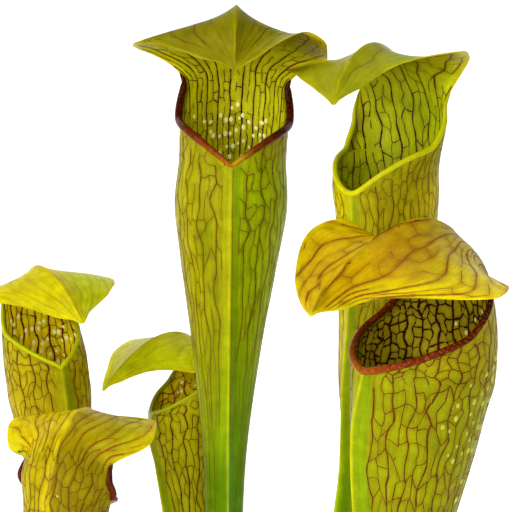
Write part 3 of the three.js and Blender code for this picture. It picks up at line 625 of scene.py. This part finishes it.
def grow(p, columns, seed, look, nets, slots, wide_out, wide_in, lid, throat_vein=MAROON, crest_shadow_line=False):
    """Nets first, because the skin's colour follows them, then the skin and the raised veins. The nets of the
    outside, the inside and perhaps the lid each have their number of lines, their cells' lengths in mm and
    what differs. Slots are the materials of main and fine veins, wide_out and wide_in their widths in mm,
    and lid the shares of both that show on top of the lid, and their material there."""
    nets = [vein_net(p, start, seed + more, lines, cells, more == 50, **rest)
            for start, more, (lines, cells, rest) in zip((0.15, 0.5, 1.2), (0, 50, 70), nets)]
    top = LID_FROM if len(nets) == 3 else 2
    groups = []
    rng = np.random.default_rng(seed + 9)
    for net, widths, lowest, highest in zip(nets, (wide_out, wide_in, wide_out), (0, 0, top), (top, 2, 2)):
        u, r, kind, inner = net["u"], net["r"], net["kind"], net["inner"]
        middle = r.mean(1)
        noise = rng.random(len(u))
        strength = 1 if inner else 0.4 + 0.6 * ease(middle, 0.4, 0.85)
        width = np.where(kind == 2, *widths) * (0.7 + 0.5 * noise) * strength
        # fine veins inside are beaded
        beads = np.where(inner & (kind < 2), 1.1, 0.45)[:, None]
        width = width[:, None] * (1 + beads * (rng.random(u.shape) - 0.5))
        off = (1 - np.abs(u).max(1)) * np.pi * along(GIRTH_AT, p["girth"], np.clip(middle, 0, 1))
        keep = (middle < 1.93) & (np.abs(u).max(1) < 0.98) & (middle > lowest) & (middle <= highest)
        on_lid = middle > 1.4
        if inner:
            slot = np.where(on_lid & (noise > 0.3), RED_BROWN, throat_vein)
        else:
            slot = np.where(kind == 2, *slots)
            slot = np.where(noise > 1.2 * ease(middle, 0.55, 0.85) + 0.1, OLIVE, slot)
            slot = np.where(on_lid, lid[2], np.where(middle < 0.42, GREEN, slot))
            line = np.round((u.mean(1) / fan_out(p, middle) + 1) / 2 * net["lines"]).astype(int)
            whole = rng.random(net["lines"] + 1)[np.clip(line, 0, net["lines"])]
            keep &= ~on_lid | np.where(kind == 2, whole < lid[0], noise < lid[1])
            keep &= (middle > 1) | (off > look["band"][1] + 0.6)
        groups.append((u[keep], r[keep], width[keep], slot[keep], inner))
    if crest_shadow_line:
        # a dark line 1 mm from the wing's crest, painted shadow beside the crest, in runs that join
        r = np.linspace(0.3, 0.995, 271)[np.arange(90)[:, None] * 3 + np.arange(4)]
        u = 1 - 1 / (np.pi * along(GIRTH_AT, p["girth"], r))
        groups.append((u, r, np.full(u.shape, 0.4), np.full(len(u), RED_BROWN), False))
    skin = build_leaf(p, columns, look, (nets * 2)[:3])
    build_veins(p, groups)
    return skin, nets[0], nets[1]


def round_cord(way, radius, sides=16):
    """Round cord along points, as a part of a mesh: rings square to the path that turn as little as they
    can, closed by fans."""
    tangent = unit(np.gradient(way, axis=0))
    side = np.empty_like(way)
    side[0] = unit(np.cross(tangent[0], [0.3, 0.5, 0.8]))
    for k in range(1, len(way)):
        side[k] = unit(side[k - 1] - tangent[k] * (side[k - 1] @ tangent[k]))
    angle = np.arange(sides)[:, None] * 2 * np.pi / sides
    ring = side[:, None] * np.cos(angle) + np.cross(tangent, side)[:, None] * np.sin(angle)
    points = (way[:, None] + ring * np.asarray(radius)[:, None, None]).reshape(-1, 3)
    faces = [np.roll(one[:, ::-1], 1, axis=1) for one in tube_faces(len(way), sides)]
    return np.concatenate([points, way[:1], way[-1:]]), faces


def lip_skin(name, gold, dark=0.6, bright=1.4, gloss=0.09):
    """Lip skin: shiny, wet with nectar, painted along its length, with streaks of about 2.5 mm and flecks of about
    1 mm, where a share of gold is mixed in as painted glints."""
    made, add = new_material(name)
    where = add("TexCoord").outputs["Object"]
    streak = add("TexNoise", {"Vector": where, "Scale": 420.0, "Detail": 3.0, "Roughness": 0.6})
    shade = add("MapRange", {
        "Value": streak, "From Min": 0.3, "From Max": 0.7, "To Min": dark, "To Max": bright})
    colour = add("VectorMath", {0: add("VertexColor", layer_name="tint"), "Scale": shade}, operation="SCALE")
    fleck = add("TexNoise", {"Vector": where, "Scale": 900.0})
    # the gold flecks are painted glints, and gold is their share
    share = add("MapRange", {"Value": fleck, "From Min": 0.5, "From Max": 0.62, "To Max": gold})
    with_glints = add("Mix", {"Factor": share, 6: colour, 7: paint("#b07a08")}, data_type="RGBA")
    add("OutputMaterial", {"Surface": add("BsdfPrincipled", {
        "Base Color": with_glints.outputs[2], "Roughness": 0.22, "IOR": 1.45, "Specular IOR Level": gloss,
        "Normal": add("Bump", {"Height": streak, "Strength": 0.25, "Distance": 0.0004}),
        "Subsurface Weight": 0.1, "Subsurface Radius": (0.001, 0.0006, 0.0001), "Subsurface Scale": 1.0})})
    return made


red_lip = lip_skin("rolled_lip_skin", 0.1)
glint_flecked_lip = lip_skin("gilded_lip_skin", 0.25)
green_lip = lip_skin("green_lip_skin", 0.0, 0.9, 1.1, 0.08)
LIP_TOP, LIP_STEPS, LIP_SMOOTHINGS = 0.42, 160, 10


def build_lip(p, colours, radius, material, slot, out=0.0):
    """Rolled lip along the mouth's edge, from one side of the column round the front to the other, smoothed,
    and moved out by up to out mm at its sides. Colours and radius in mm go by the share of its length."""
    t = np.linspace(-1, 1, LIP_STEPS)
    v = LIP_TOP * np.abs(t) ** 1.2
    outwards = WALL / 2 - out * ease(np.abs(t), 0.05, 0.3) * (1 - ease(np.abs(t), 0.7, 1))
    way = leaf_point(p, np.where(t < 0, -1, 1), 1 + np.maximum(v, 0.0005), outwards, False)
    for _ in range(LIP_SMOOTHINGS):
        way[1:-1] = (way[:-2] + 2 * way[1:-1] + way[2:]) / 4
    share = (t + 1) / 2
    ends = np.minimum(1, np.sqrt(np.clip(np.minimum(share, 1 - share) / 0.02, 0.02, 1)))
    points, faces = round_cord(way, along(*radius, share) * ends)
    made = mesh_object("rolled_lip_" + p["name"], [(points, faces, 0)], [material], slot)
    table = np.array([rgb(hexa) for hexa in colours.values()])
    shade = np.stack([np.interp(share, list(colours), table[:, k]) for k in range(3)], 1)
    set_tint(made.data, np.concatenate([np.repeat(shade, 16, axis=0), shade[:1], shade[-1:]]))
    return made


# Window spots: round patches with no green, so light comes straight through those in the throat, which glow faintly
# as painted light, and those on the outside are pale. They are 1 to 3 mm wide, so each is one plain colour.
WINDOWS = [
    # the clear windows glow faintly: painted light for the light that comes through them
    plain_material("clear_glowing_window", {
        "Base Color": paint("#f4f0a0"), "Roughness": 0.35, "IOR": 1.45, "Specular IOR Level": 0.1,
        "Emission Color": paint("#eeea80"), "Emission Strength": 0.16}),
    plain_material("pale_window", {
        "Base Color": paint("#dcda38"), "Roughness": 0.4, "IOR": 1.45, "Specular IOR Level": 0.2,
        "Subsurface Weight": 0.6, "Subsurface Radius": (0.003, 0.003, 0.0005), "Subsurface Scale": 1.0})]
CLEAR_GLOWING, PALE = 0, 1
# a window's rings as shares of its radius outwards and upwards, and its width and length against its radius
WINDOW_SIDES, WINDOW_RINGS, WINDOW_WIDE, WINDOW_LONG = 10, ((1.0, -0.06), (0.92, 0.06), (0.6, 0.16)), 0.85, 1.15


def build_windows(p, groups):
    """Window spots as low domes on the skin. Each group has a net, a region of it (u from, u to, r from, r
    to), the share of its cells with a window, the smallest and largest radius in mm, material and seed."""
    angle = np.arange(WINDOW_SIDES)[:, None] * 2 * np.pi / WINDOW_SIDES
    parts = []
    for net, (u0, u1, r0, r1), share, (small, large), number, seed in groups:
        rng = np.random.default_rng(seed)
        u, r = net["cells"]
        away = np.hypot((u - (u0 + u1) / 2) / ((u1 - u0) / 2), (r - (r0 + r1) / 2) / ((r1 - r0) / 2))
        near = 1 - np.clip(away, 0, 1)
        chosen = (rng.random(len(u)) < share * near ** 0.5) & (near > 0)
        u, r = u[chosen], r[chosen]
        radius = (small + (large - small) * rng.random(len(u)))[:, None, None]
        at, normal, how = skin_at(p, u, r, net["inner"])
        across = unit(np.cross(normal, unit(leaf_point(p, u, r + 0.004, *how) - at)))
        way = np.cross(across, normal)
        at, normal, across, way = (k[:, None] for k in (at, normal, across, way))
        lift = normal * np.minimum(radius, 1.5)
        oval = radius * (WINDOW_WIDE * across * np.cos(angle) + WINDOW_LONG * way * np.sin(angle))
        dome = np.concatenate([at + up * lift + out * oval for out, up in WINDOW_RINGS]
                              + [at - 0.06 * normal * radius, at + 0.2 * lift], 1)
        parts.append((dome.reshape(-1, 3), copies(tube_faces(len(WINDOW_RINGS), WINDOW_SIDES), dome), number))
    mesh_object("windows_" + p["name"], parts, WINDOWS, "leaf")


tall, tall_out, tall_in = grow(
    TALL, 110, 3, dict(
        PALE_LOOK, far="#a0b404", far_low_shaded="#4c8c02", stalk="#6c9602", lid_stain=0.4, lid_far_shading="#8a8604",
        lid_shading_from=(0.05, 0.3), stain_out="#6a5a02",
        patches=[(-0.845, 0.875, 0.075, 0.04, "#4e6a02", 0.4), (-0.9, 0.8, 0.05, 0.035, "#4e6a02", 0.4)]),
    [(42, (60, 40, 22, 10, 7, 9, 9), dict(pull=0.6, wave=0.5, gaps=(0.12, 0.4), cross_low=0.85)),
     (54, (40, 20, 8, 5.5, 8), dict(pull=0.92, wave=0.14, gaps=(0.12, 0.62))),
     (84, (60, 10, 11), dict(pull=0.7, gaps=(0.2, 0.3)))],
    (BROWN, BROWN), (0.8, 0.48), (1.05, 0.62), (0.3, 0.16, BROWN), crest_shadow_line=True)
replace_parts(tall, "pitcher_tall")
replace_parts(build_lip(TALL, {
    0: "#320804", 0.25: "#420c04", 0.36: "#762c04", 0.46: "#965004", 0.5: "#a86c06", 0.53: "#b89008",
    0.6: "#783404", 0.7: "#440e04", 1: "#280404"},
    ((0, 0.1, 0.28, 0.5, 0.72, 0.9, 1), (0.8, 1.7, 1.9, 1.15, 1.9, 1.7, 0.8)), red_lip, "red_lip", 0.9), "lip_tall")
build_windows(TALL, [
    (tall_in, (-0.66, 0.6, 0.96, 1.27), 1.0, (0.75, 1.25), CLEAR_GLOWING, 21),
    (tall_out, (-0.4, 0.4, 0.8, 1.3), 0.3, (0.5, 1.1), PALE, 22)])

# High right pitcher.
# One grown leaf that faces left, with a plain yellow-green lip and a net of fine brown veins inside.
HIGH_RIGHT = dict(
    name="high_right", foot=(40, 16, 20), mouth=(58.5, 4, 294.5), bow=-13.5, lean=-0.06, turn=45, twist=14,
    girth=(6.5, 5, 5, 7, 17.5, 21.5, 23, 24.5), wing=WING, neck=(22.5, 34.5), tilt=-5, neck_wide=29.5,
    neck_deep=15.5, wrap=72, side=0.17, sag=0.66, rise=34.5, tip=(-35, 41), back=21, over=42, keel=8,
    wide=((20, 34, 53.5, 36.5, 1), (20, 39.5, 48.5, 20, 1)), fall=((-9.5, 5.5, -6.5), (-9, 2, 3)),
    curl=((-15.5, -3.5, 6.5), (-10, -5, 4)), sway=(2.5, 1), sweep=(1, -4.5))
high, high_out, high_in = grow(
    HIGH_RIGHT, 100, 5, dict(
        PALE_LOOK, lid="#96960c", lid_far_shading="#969a14", tube="#aca004", far="#d8c404", far_shade_from=(0.75, 0.35),
        stalk="#8a9804", far_low_shaded="#9a9c04", throat="#a8b20c", under="#847e04"),
    [(46, (60, 40, 16, 8, 7, 9, 9), {}), (36, (40, 20, 8, 7, 9), dict(pull=0.85, wave=0.3, gaps=(0.12, 0.45)))],
    (BROWN, BROWN), (0.65, 0.42), (1.15, 0.6), (0.3, 0.05, OLIVE))
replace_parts(high, "pitcher_high_right")
LIP_AT = (0, 0.15, 0.5, 0.85, 1)
build_lip(HIGH_RIGHT, {0: "#acac04", 0.5: "#d0cc08", 1: "#acac04"},
          (LIP_AT, (0.6, 1.2, 1.35, 1.2, 0.6)), green_lip, "leaf")
build_windows(HIGH_RIGHT, [
    (high_in, (-0.3, 0.6, 1.0, 1.25), 0.12, (0.5, 0.9), PALE, 23),
    (high_out, (-0.4, 0.4, 0.8, 1.3), 0.3, (0.6, 1.2), PALE, 24)])

# Near right pitcher.
# One grown leaf that faces left, the most coloured one: an amber lid with red-brown veins and a rolled lip that is
# red, with gold flecks painted as glints. The net inside its mouth is coarse and nearly black.
NEAR_RIGHT = dict(
    name="near_right", foot=(58, -24, 20), mouth=(71.5, -55, 218.5), bow=7, lean=0.14, turn=59, twist=9,
    girth=(6.5, 5, 8, 13, 22, 28, 30.5, 32.5), wing=((0, 0.1, 0.4, 0.88, 1), (0, 2, 7, 5.5, 0)),
    neck=(19.5, 46), tilt=-25, neck_wide=34, neck_deep=28.5, wrap=47, side=0.21, sag=0.76, rise=58,
    tip=(-73.5, 24.5), back=15, over=18, keel=12.5, wide=((24, 45.5, 45.5, 28, 1), (24, 49, 69, 9.5, 1)),
    fall=((19.5, 2.5, -9), (13, 13, 2.5)), curl=((10, -12.5, 8), (5.5, -5, 1.5)), sway=(5, 13.5),
    sweep=(1, -6.5))
near, near_out, near_in = grow(
    NEAR_RIGHT, 112, 7, dict(
        PALE_LOOK, lid="#dcb804", lid_far_shading="#dcc804", lid_shading_from=(0.1, 0.6), under="#8c6a04", edge="#e0c804",
        stain_out="#8a4e04", tube="#969a04", far="#969c04", far_low_shaded="#869202", throat="#bcb218",
        patches=[(0.2, 1.68, 0.28, 0.16, "#8e5e04", 0.45), (0.2, 1.5, 0.4, 0.09, "#b0a804", 0.5)],
        lid_stain=0.5, lit_and_shaded_bands=("#a0a40a", "#84a006"), wing="#d8cc10", band=(8.0, 5.5)),
    [(44, (60, 34, 14, 8.5, 6.5, 9, 9), dict(pull=0.6, wave=0.45, cross_low=0.4)),
     (52, (40, 14, 5.5, 5, 8), dict(pull=0.75, wave=0.3, gaps=(0.05, 0.15))),
     (96, (60, 10, 12), dict(pull=0.8, wave=0.3, gaps=(0.15, 0.3)))],
    (RED_BROWN, RED_BROWN), (1.0, 0.6), (1.8, 1.1), (1, 0.5, AMBER))
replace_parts(near, "pitcher_near_right")
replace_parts(build_lip(NEAR_RIGHT, {
    0: "#480e02", 0.3: "#6c2002", 0.48: "#984a02", 0.56: "#8c3c02", 0.66: "#701e02", 0.8: "#500f02",
    1: "#300602"}, (LIP_AT, (0.8, 1.4, 1.75, 1.4, 0.8)), glint_flecked_lip, "red_lip", 0.3), "lip_near_right")
build_windows(NEAR_RIGHT, [
    (near_in, (-0.5, 0.3, 0.98, 1.3), 0.3, (0.7, 1.2), CLEAR_GLOWING, 25),
    (near_out, (-0.55, 0.6, 0.62, 1.4), 0.4, (0.7, 1.5), PALE, 26),
    (near_out, (0.0, 0.6, 0.72, 1.14), 0.75, (0.8, 1.4), PALE, 33)])

# Left pitcher.
# One grown leaf that faces right, lemon-coloured, with clear window spots all over its throat and a plain
# yellow-green lip.
LEFT = dict(
    name="left", foot=(-76, 16, 20), mouth=(-98, 40, 210.5), bow=0.5, lean=-0.12, turn=-27, twist=6,
    girth=(6, 4.5, 6, 10, 15, 17.5, 19.5, 19.5), wing=WING, neck=(13.5, 32), tilt=-7, neck_wide=18,
    neck_deep=13.5, wrap=59, side=0.21, sag=1.23, rise=23.5, tip=(-34, 20.5), back=12.5, over=31.5, keel=5.5,
    wide=((14, 25, 35, 18, 1), (14, 39, 36, 25, 1)), fall=((-4, 6.5, 5), (1, 5.5, 3)),
    curl=((-1, -1, 3.5), (-1, 3, 2)), sway=(7, 0), sweep=(-2, -1.5))
left, left_out, left_in = grow(
    LEFT, 84, 11, dict(
        PALE_LOOK, lid="#d8ca06", lid_far_shading="#d0d806", tube="#b8a204", far="#b4a004", throat="#e8d818",
        stalk="#a4a004", far_low_shaded="#9a9a04", column="#b8a806", edge="#e8c404", stain_out="#726a02",
        lid_stain=0.28),
    [(36, (60, 34, 16, 8, 6.5, 8, 8), {}), (34, (40, 16, 6, 5, 7), dict(pull=0.85, wave=0.3, gaps=(0.1, 0.45))),
     (76, (60, 8, 8), dict(pull=0.6, gaps=(0.1, 0.2)))],
    (RED_BROWN, BROWN), (0.85, 0.5), (1.5, 0.6), (0, 0, OLIVE), WINE)
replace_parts(left, "pitcher_left")
build_lip(LEFT, {0: "#a8aa04", 0.5: "#c4c808", 1: "#a8aa04"},
          (LIP_AT, (0.5, 0.9, 1.1, 0.9, 0.5)), green_lip, "leaf")
build_windows(LEFT, [
    (left_in, (-0.7, 0.7, 0.97, 1.3), 0.8, (0.75, 1.2), CLEAR_GLOWING, 27),
    (left_out, (-0.4, 0.5, 0.75, 1.3), 0.3, (0.6, 1.1), PALE, 28)])

# Low left pitcher.
# One grown leaf seen from its back, with a lemon lid and the ends of its red lip curled round the column.
LOW_LEFT = dict(
    name="low_left", foot=(-80, -16, 20), mouth=(-84, -33, 153), bow=0, lean=0.04, turn=-154, twist=0,
    girth=(6, 4.5, 7, 11, 15, 18.5, 19.5, 19), wing=WING, neck=(14.5, 23.5), tilt=-22, neck_wide=23.5,
    neck_deep=21.5, wrap=69, side=0.17, sag=0.94, rise=39.5, tip=(-40.5, 24.5), back=4.5, over=23, keel=2.5,
    wide=((16, 45, 40.5, 10.5, 1), (16, 28, 31.5, 11.5, 1)), fall=((2, 1.5, 1.5), (11, 6.5, 1)),
    curl=((-4, -0.5, 3), (1, 3, 3)), sway=(2.5, 4), sweep=(-11.5, -13))
low, low_out, low_in = grow(
    LOW_LEFT, 84, 13, dict(
        PALE_LOOK, lid="#d0bc04", lid_far_shading="#d0b804", tube="#a8a004", far="#b4a804", column="#b8a804",
        # the shade darkens one half of the top as painted shade, and the patch lightens part of the lid there as
        # painted light
        edge="#ecd40c", stain_out="#80500a", lid_stain=0.4, ridge=0.8, keel=0.05, shade=(0.0, -0.07, 0.33),
        patches=[(-0.7, 1.56, 0.3, 0.14, "#ccd004", 0.6)]),
    [(38, (60, 34, 16, 8, 6.5, 8, 9), {}), (34, (40, 16, 6, 5, 7), dict(pull=0.75, wave=0.3, gaps=(0.3, 0.3))),
     (58, (60, 9, 9), dict(pull=0.6, gaps=(0.1, 0.25)))],
    (BROWN, BROWN), (0.75, 0.45), (0.8, 0.5), (1, 0.5, RUST))
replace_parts(low, "pitcher_low_left")
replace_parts(build_lip(LOW_LEFT, {0: "#3a0a06", 0.5: "#7a3008", 1: "#3a0a06"},
                      ((0, 0.1, 0.5, 0.9, 1), (0.8, 1.6, 1.3, 1.6, 0.8)), red_lip, "red_lip", 1.2), "lip_low_left")
build_windows(LOW_LEFT, [
    (low_in, (-0.7, 0.7, 0.97, 1.3), 0.4, (0.6, 1.0), CLEAR_GLOWING, 29),
    (low_out, (-0.4, 0.4, 0.8, 1.3), 0.15, (0.5, 0.9), PALE, 30)])

# Pitcher behind the tall one.
# One grown leaf seen from its side, the smallest, with a plain lemon-green lid and lip. It grows from a
# short branch.
BEHIND = dict(
    name="behind", foot=(-20, 34, 20), mouth=(-34.5, 75, 183.5), bow=3.5, lean=0, turn=66, twist=0,
    girth=(6, 4.5, 6, 8.5, 11, 14.5, 18, 18), wing=WING, neck=(10.5, 26), tilt=-16, neck_wide=20,
    neck_deep=13.5, wrap=48, side=0.21, sag=1.39, rise=21, tip=(-38.5, 11.5), back=19, over=32.5, keel=4,
    wide=((12, 25, 42, 31.5, 1), (12, 23, 25.5, 8, 1)), fall=((2.5, 4.5, 1.5), (0, 8.5, 1)),
    curl=((3.5, 0.5, -3), (-2.5, 4.5, 0)), sway=(-2, -6.5), sweep=(-3.5, -0.5))
behind, behind_out, behind_in = grow(
    BEHIND, 80, 17, dict(
        PALE_LOOK, lid="#c4c404", lid_far_shading="#c0c404", tube="#b8ac04", far="#b4ac04", column="#b8ac04",
        stalk="#9aa404", far_low_shaded="#98a204", throat="#d4c810"),
    [(32, (60, 34, 16, 8, 6.5, 8, 8), {}), (30, (40, 16, 6, 5, 7), dict(pull=0.75, wave=0.3, gaps=(0.3, 0.3))),
     (76, (60, 8, 8), dict(pull=0.6, gaps=(0.1, 0.2)))],
    (RED_BROWN, BROWN), (0.95, 0.55), (1.1, 0.7), (0, 0, AMBER), WINE)
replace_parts(behind, "pitcher_behind")
build_lip(BEHIND, {0: "#98a204", 0.5: "#b4bc08", 1: "#98a204"},
          (LIP_AT, (0.5, 0.8, 1.0, 0.8, 0.5)), green_lip, "leaf")
build_windows(BEHIND, [
    (behind_in, (-0.7, 0.7, 0.97, 1.3), 0.4, (0.5, 0.9), CLEAR_GLOWING, 31),
    (behind_out, (-0.4, 0.4, 0.75, 1.3), 0.3, (0.6, 1.1), PALE, 32)])

# Rootstock.
# A creeping woody stem with ringed scars, a crown of dry papery sheaths round each stalk, and roots with
# fine side roots that lie on the ground. It is grown in one piece.
STOCK_R, BRANCH_SHARE, SCALE_PITCH = 12, 0.88, 0.085
STOCK = [[-100, 0, 10], [-80, -2, 10], [-52, 4, 10], [-20, 14, 10],
         [12, 12, 10], [42, 6, 10], [66, 4, 10], [84, 8, 10]]
BRANCHES = [
    [[40, 8, 9], [41, 16, 9], [40, 24, 9], [38, 34, 9]],
    [[46, 6, 9], [52, -6, 9], [58, -22, 9], [64, -36, 9]],
    [[-8, 14, 9], [-3, 6, 9], [1, -4, 9], [7, -16, 9]],
    [[-24, 14, 9], [-22, 24, 9], [-20, 34, 9], [-20, 42, 9]]]
# start x and y, heading in degrees, length and bend of each root
ROOTS = [
    [-92, -6, 205, 34, 20], [-84, -12, 250, 44, -30], [-66, -4, 290, 46, 25], [-70, 8, 100, 46, -25],
    [-48, 0, 262, 50, 30], [-40, 12, 80, 42, 30], [-30, 10, 235, 50, -25], [7, -16, 282, 40, 25],
    [-20, 42, 95, 34, -30], [24, 4, 262, 52, 25], [26, 16, 70, 40, 25], [39, 34, 60, 34, -25],
    [72, 0, 300, 42, 25], [80, 8, 20, 36, -30], [63, -34, 250, 34, -20]]
# radius of a root and of a side root in mm, side roots on a root, and their shortest and longest in mm
ROOT_R, FINE_R, FINE_ROOTS, FINE_SHORT, FINE_LONG = 1.3, 0.32, 12, 5, 14


def through(stops, share):
    """Smooth path through points at equal shares of its length."""
    stops = np.array(stops, float)
    reach = np.concatenate([[0], np.cumsum(np.linalg.norm(np.diff(stops, axis=0), axis=1))])
    return np.stack([along(reach / reach[-1], stops[:, k], share) for k in range(3)], -1)


def closed(points):
    """A grid of rings as a part of a mesh, closed round and at both ends."""
    hubs = points[[0, -1]].mean(1)
    return np.concatenate([points.reshape(-1, 3), hubs]), tube_faces(*points.shape[:2])


def rough_stem(stops, thick, steps, sides):
    """Knobbly stem: rings of overlapping scars that swell slowly and step back, lumps, and cracked bark."""
    share = np.linspace(0, 1, steps)
    way = through(stops, share)
    tangent = unit(np.gradient(way, axis=0))
    side = unit(np.cross(tangent, [0, 0, 1]))
    s, angle = np.meshgrid(share, np.arange(sides) * 2 * np.pi / sides, indexing="ij")
    ends = np.minimum(1, np.sqrt(np.sin(np.pi * np.clip(s, 0.004, 0.996))) * 1.5)
    lump = 0.07 * np.sin(3 * angle + 17 * s) + 0.05 * np.sin(2 * angle - 29 * s)
    turn = s / SCALE_PITCH + 0.18 * np.sin(3 * angle + 5 * s) + 0.1 * np.sin(7 * angle - 40 * s)
    crack = 0.012 * np.sin(19 * angle + 3 * np.sin(23 * s)) + 0.008 * np.sin(41 * angle + 60 * s)
    reach = (thick * ends * (1 + 0.09 * (turn % 1) ** 1.5 - 0.05 + lump + crack))[..., None]
    angle = angle[..., None]
    other = np.cross(side, tangent)
    points = way[:, None] + reach * (side[:, None] * np.cos(angle) + other[:, None] * np.sin(angle))
    points[..., 2] = np.maximum(points[..., 2], 0)
    return points


def crown(p, seed, sides=72):
    """Papery sheath round a stalk: five pointed scales with ribs and a torn edge, and the socket inside."""
    u = np.linspace(-1, 1, sides, endpoint=False)
    a = np.pi / 2 - np.pi * u
    point = np.maximum(0, np.cos(2.5 * a + seed)) ** 2
    torn = 0.7 * np.sin(23 * a + seed) + 0.5 * np.sin(37 * a + 2 * seed)
    t = np.linspace(0, 1, 20)[:, None]
    at, _, front, side = (k[:, None] for k in tube_frame(p, t[:, 0] * 0.09))
    rib = 0.22 * np.sin(30 * a + seed) + 0.15 * np.sin(47 * a)
    lap = 0.9 * ((a * 2.5 / np.pi + seed / np.pi + 3 * t) % 1)
    reach = 12.5 - 4.6 * ease(t, 0, 1) + 1.2 * np.sin(a * 3 + seed * 2) * (1 - t)
    reach = reach + rib * ease(t, 0.05, 0.5) + lap * ease(t, 0.1, 0.5)
    inner_reach = np.linalg.norm(leaf_point(p, u, 0.08, -0.9) - tube_frame(p, 0.08)[0], axis=-1)
    reach = (reach + (inner_reach - reach) * ease(t, 0.8, 1.0))[..., None]
    height = 8 + t * (22 + 13 * point + 5 * np.sin(a + seed) + torn)
    outer = at + reach * (side * np.cos(a)[:, None] - front * np.sin(a)[:, None])
    outer[..., 2] = height
    # inside of the socket, from the torn edge down to the foot of the stalk
    top = (height[-1] - p["foot"][2]) / (p["mouth"][2] - p["foot"][2])
    return np.concatenate([outer, leaf_point(p, u, np.linspace(1, 0, 8)[:, None] * top, -0.3)])


def root_way(start_x, start_y, heading, length, bend, steps=6):
    """Points of a root that goes down to the ground and winds on it, turning a little at each step."""
    turn, at, way = math.radians(heading), np.array([start_x, start_y], float), []
    for i in range(steps + 1):
        t = i / steps
        way.append([*at, 1.28 + 5.5 * (1 - float(ease(t, 0, 0.45)))])
        turn += math.radians(bend) * math.sin(5 * t + start_x) * 0.8
        at = at + np.array([math.cos(turn), math.sin(turn)]) * length / steps
    return way


BARK, SHEATH, ROOT = 0, 1, 2
parts = [(*closed(rough_stem(STOCK, STOCK_R, 220, 52)), BARK)]
parts += [(*closed(rough_stem(one, STOCK_R * BRANCH_SHARE, 76, 36)), BARK) for one in BRANCHES]
parts += [(*closed(crown(p, i * 1.3)), SHEATH)
          for i, p in enumerate((TALL, HIGH_RIGHT, NEAR_RIGHT, LEFT, LOW_LEFT, BEHIND))]
rng = np.random.default_rng(40)
share = np.linspace(0, 1, 40)
step = np.linspace(0, 1, 9)
for one in ROOTS:
    way = through(root_way(*one), share)
    sway = np.stack([np.sin(19 * share + one[0]), np.cos(23 * share + one[1]), 0 * share], 1) * 0.35
    thick = ROOT_R * (1 - 0.45 * share) * (1 + 0.08 * np.sin(60 * share))
    way = way + sway * ease(share, 0.1, 0.3)[:, None]
    way[:, 2] = np.maximum(way[:, 2], thick)
    parts.append((*round_cord(way, thick, 10), ROOT))
    for k in rng.choice(np.arange(10, 39), FINE_ROOTS, replace=False):
        way_on = unit(way[k] - way[k - 1])
        turn = math.atan2(way_on[1], way_on[0]) + rng.choice([-1, 1]) * (0.7 + 0.6 * rng.random())
        length = FINE_SHORT + (FINE_LONG - FINE_SHORT) * rng.random()
        bow = turn + 0.9 * (rng.random() - 0.5) * step
        run = np.stack([np.cos(bow), np.sin(bow), 0 * step], 1) * (step * length)[:, None] + way[k]
        fine = FINE_R * (1 - 0.7 * step)
        run[:, 2] = np.maximum(way[k][2] * (1 - ease(step, 0, 0.5)), fine)
        parts.append((*round_cord(run, fine, 5), ROOT))


def woody(name, dark, light, scale, stretch, roughness):
    """Dead plant skin, dull, in two browns: corky bark, nearly black in its cracks, in patches of about 4 mm,
    papery sheaths with upright streaks 2.5 mm apart, and roots in patches of 2 mm."""
    made, add = new_material(name)
    drawn = add("Mapping", {"Vector": add("TexCoord").outputs["Object"], "Scale": (1.0, 1.0, stretch)})
    patch = add("TexNoise", {"Vector": drawn, "Scale": scale, "Detail": 6.0, "Roughness": 0.65})
    share = add("MapRange", {"Value": patch, "From Min": 0.35, "From Max": 0.65})
    blend = add("Mix", {"Factor": share, 6: paint(dark), 7: paint(light)}, data_type="RGBA")
    add("OutputMaterial", {"Surface": add("BsdfPrincipled", {
        "Base Color": blend.outputs[2], "Roughness": roughness,
        "Normal": add("Bump", {"Height": patch, "Strength": 0.6, "Distance": 0.0008})})})
    return made


rootstock = mesh_object("rootstock_grown", parts, [
    woody("rootstock_bark", "#241710", "#7a5a3a", 260.0, 1.0, 0.85),
    woody("papery_sheath", "#54351c", "#a8845a", 420.0, 0.12, 0.6),
    woody("root_skin", "#3a2616", "#8a6840", 500.0, 1.0, 0.7)], "rootstock")
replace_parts(rootstock, "rootstock")
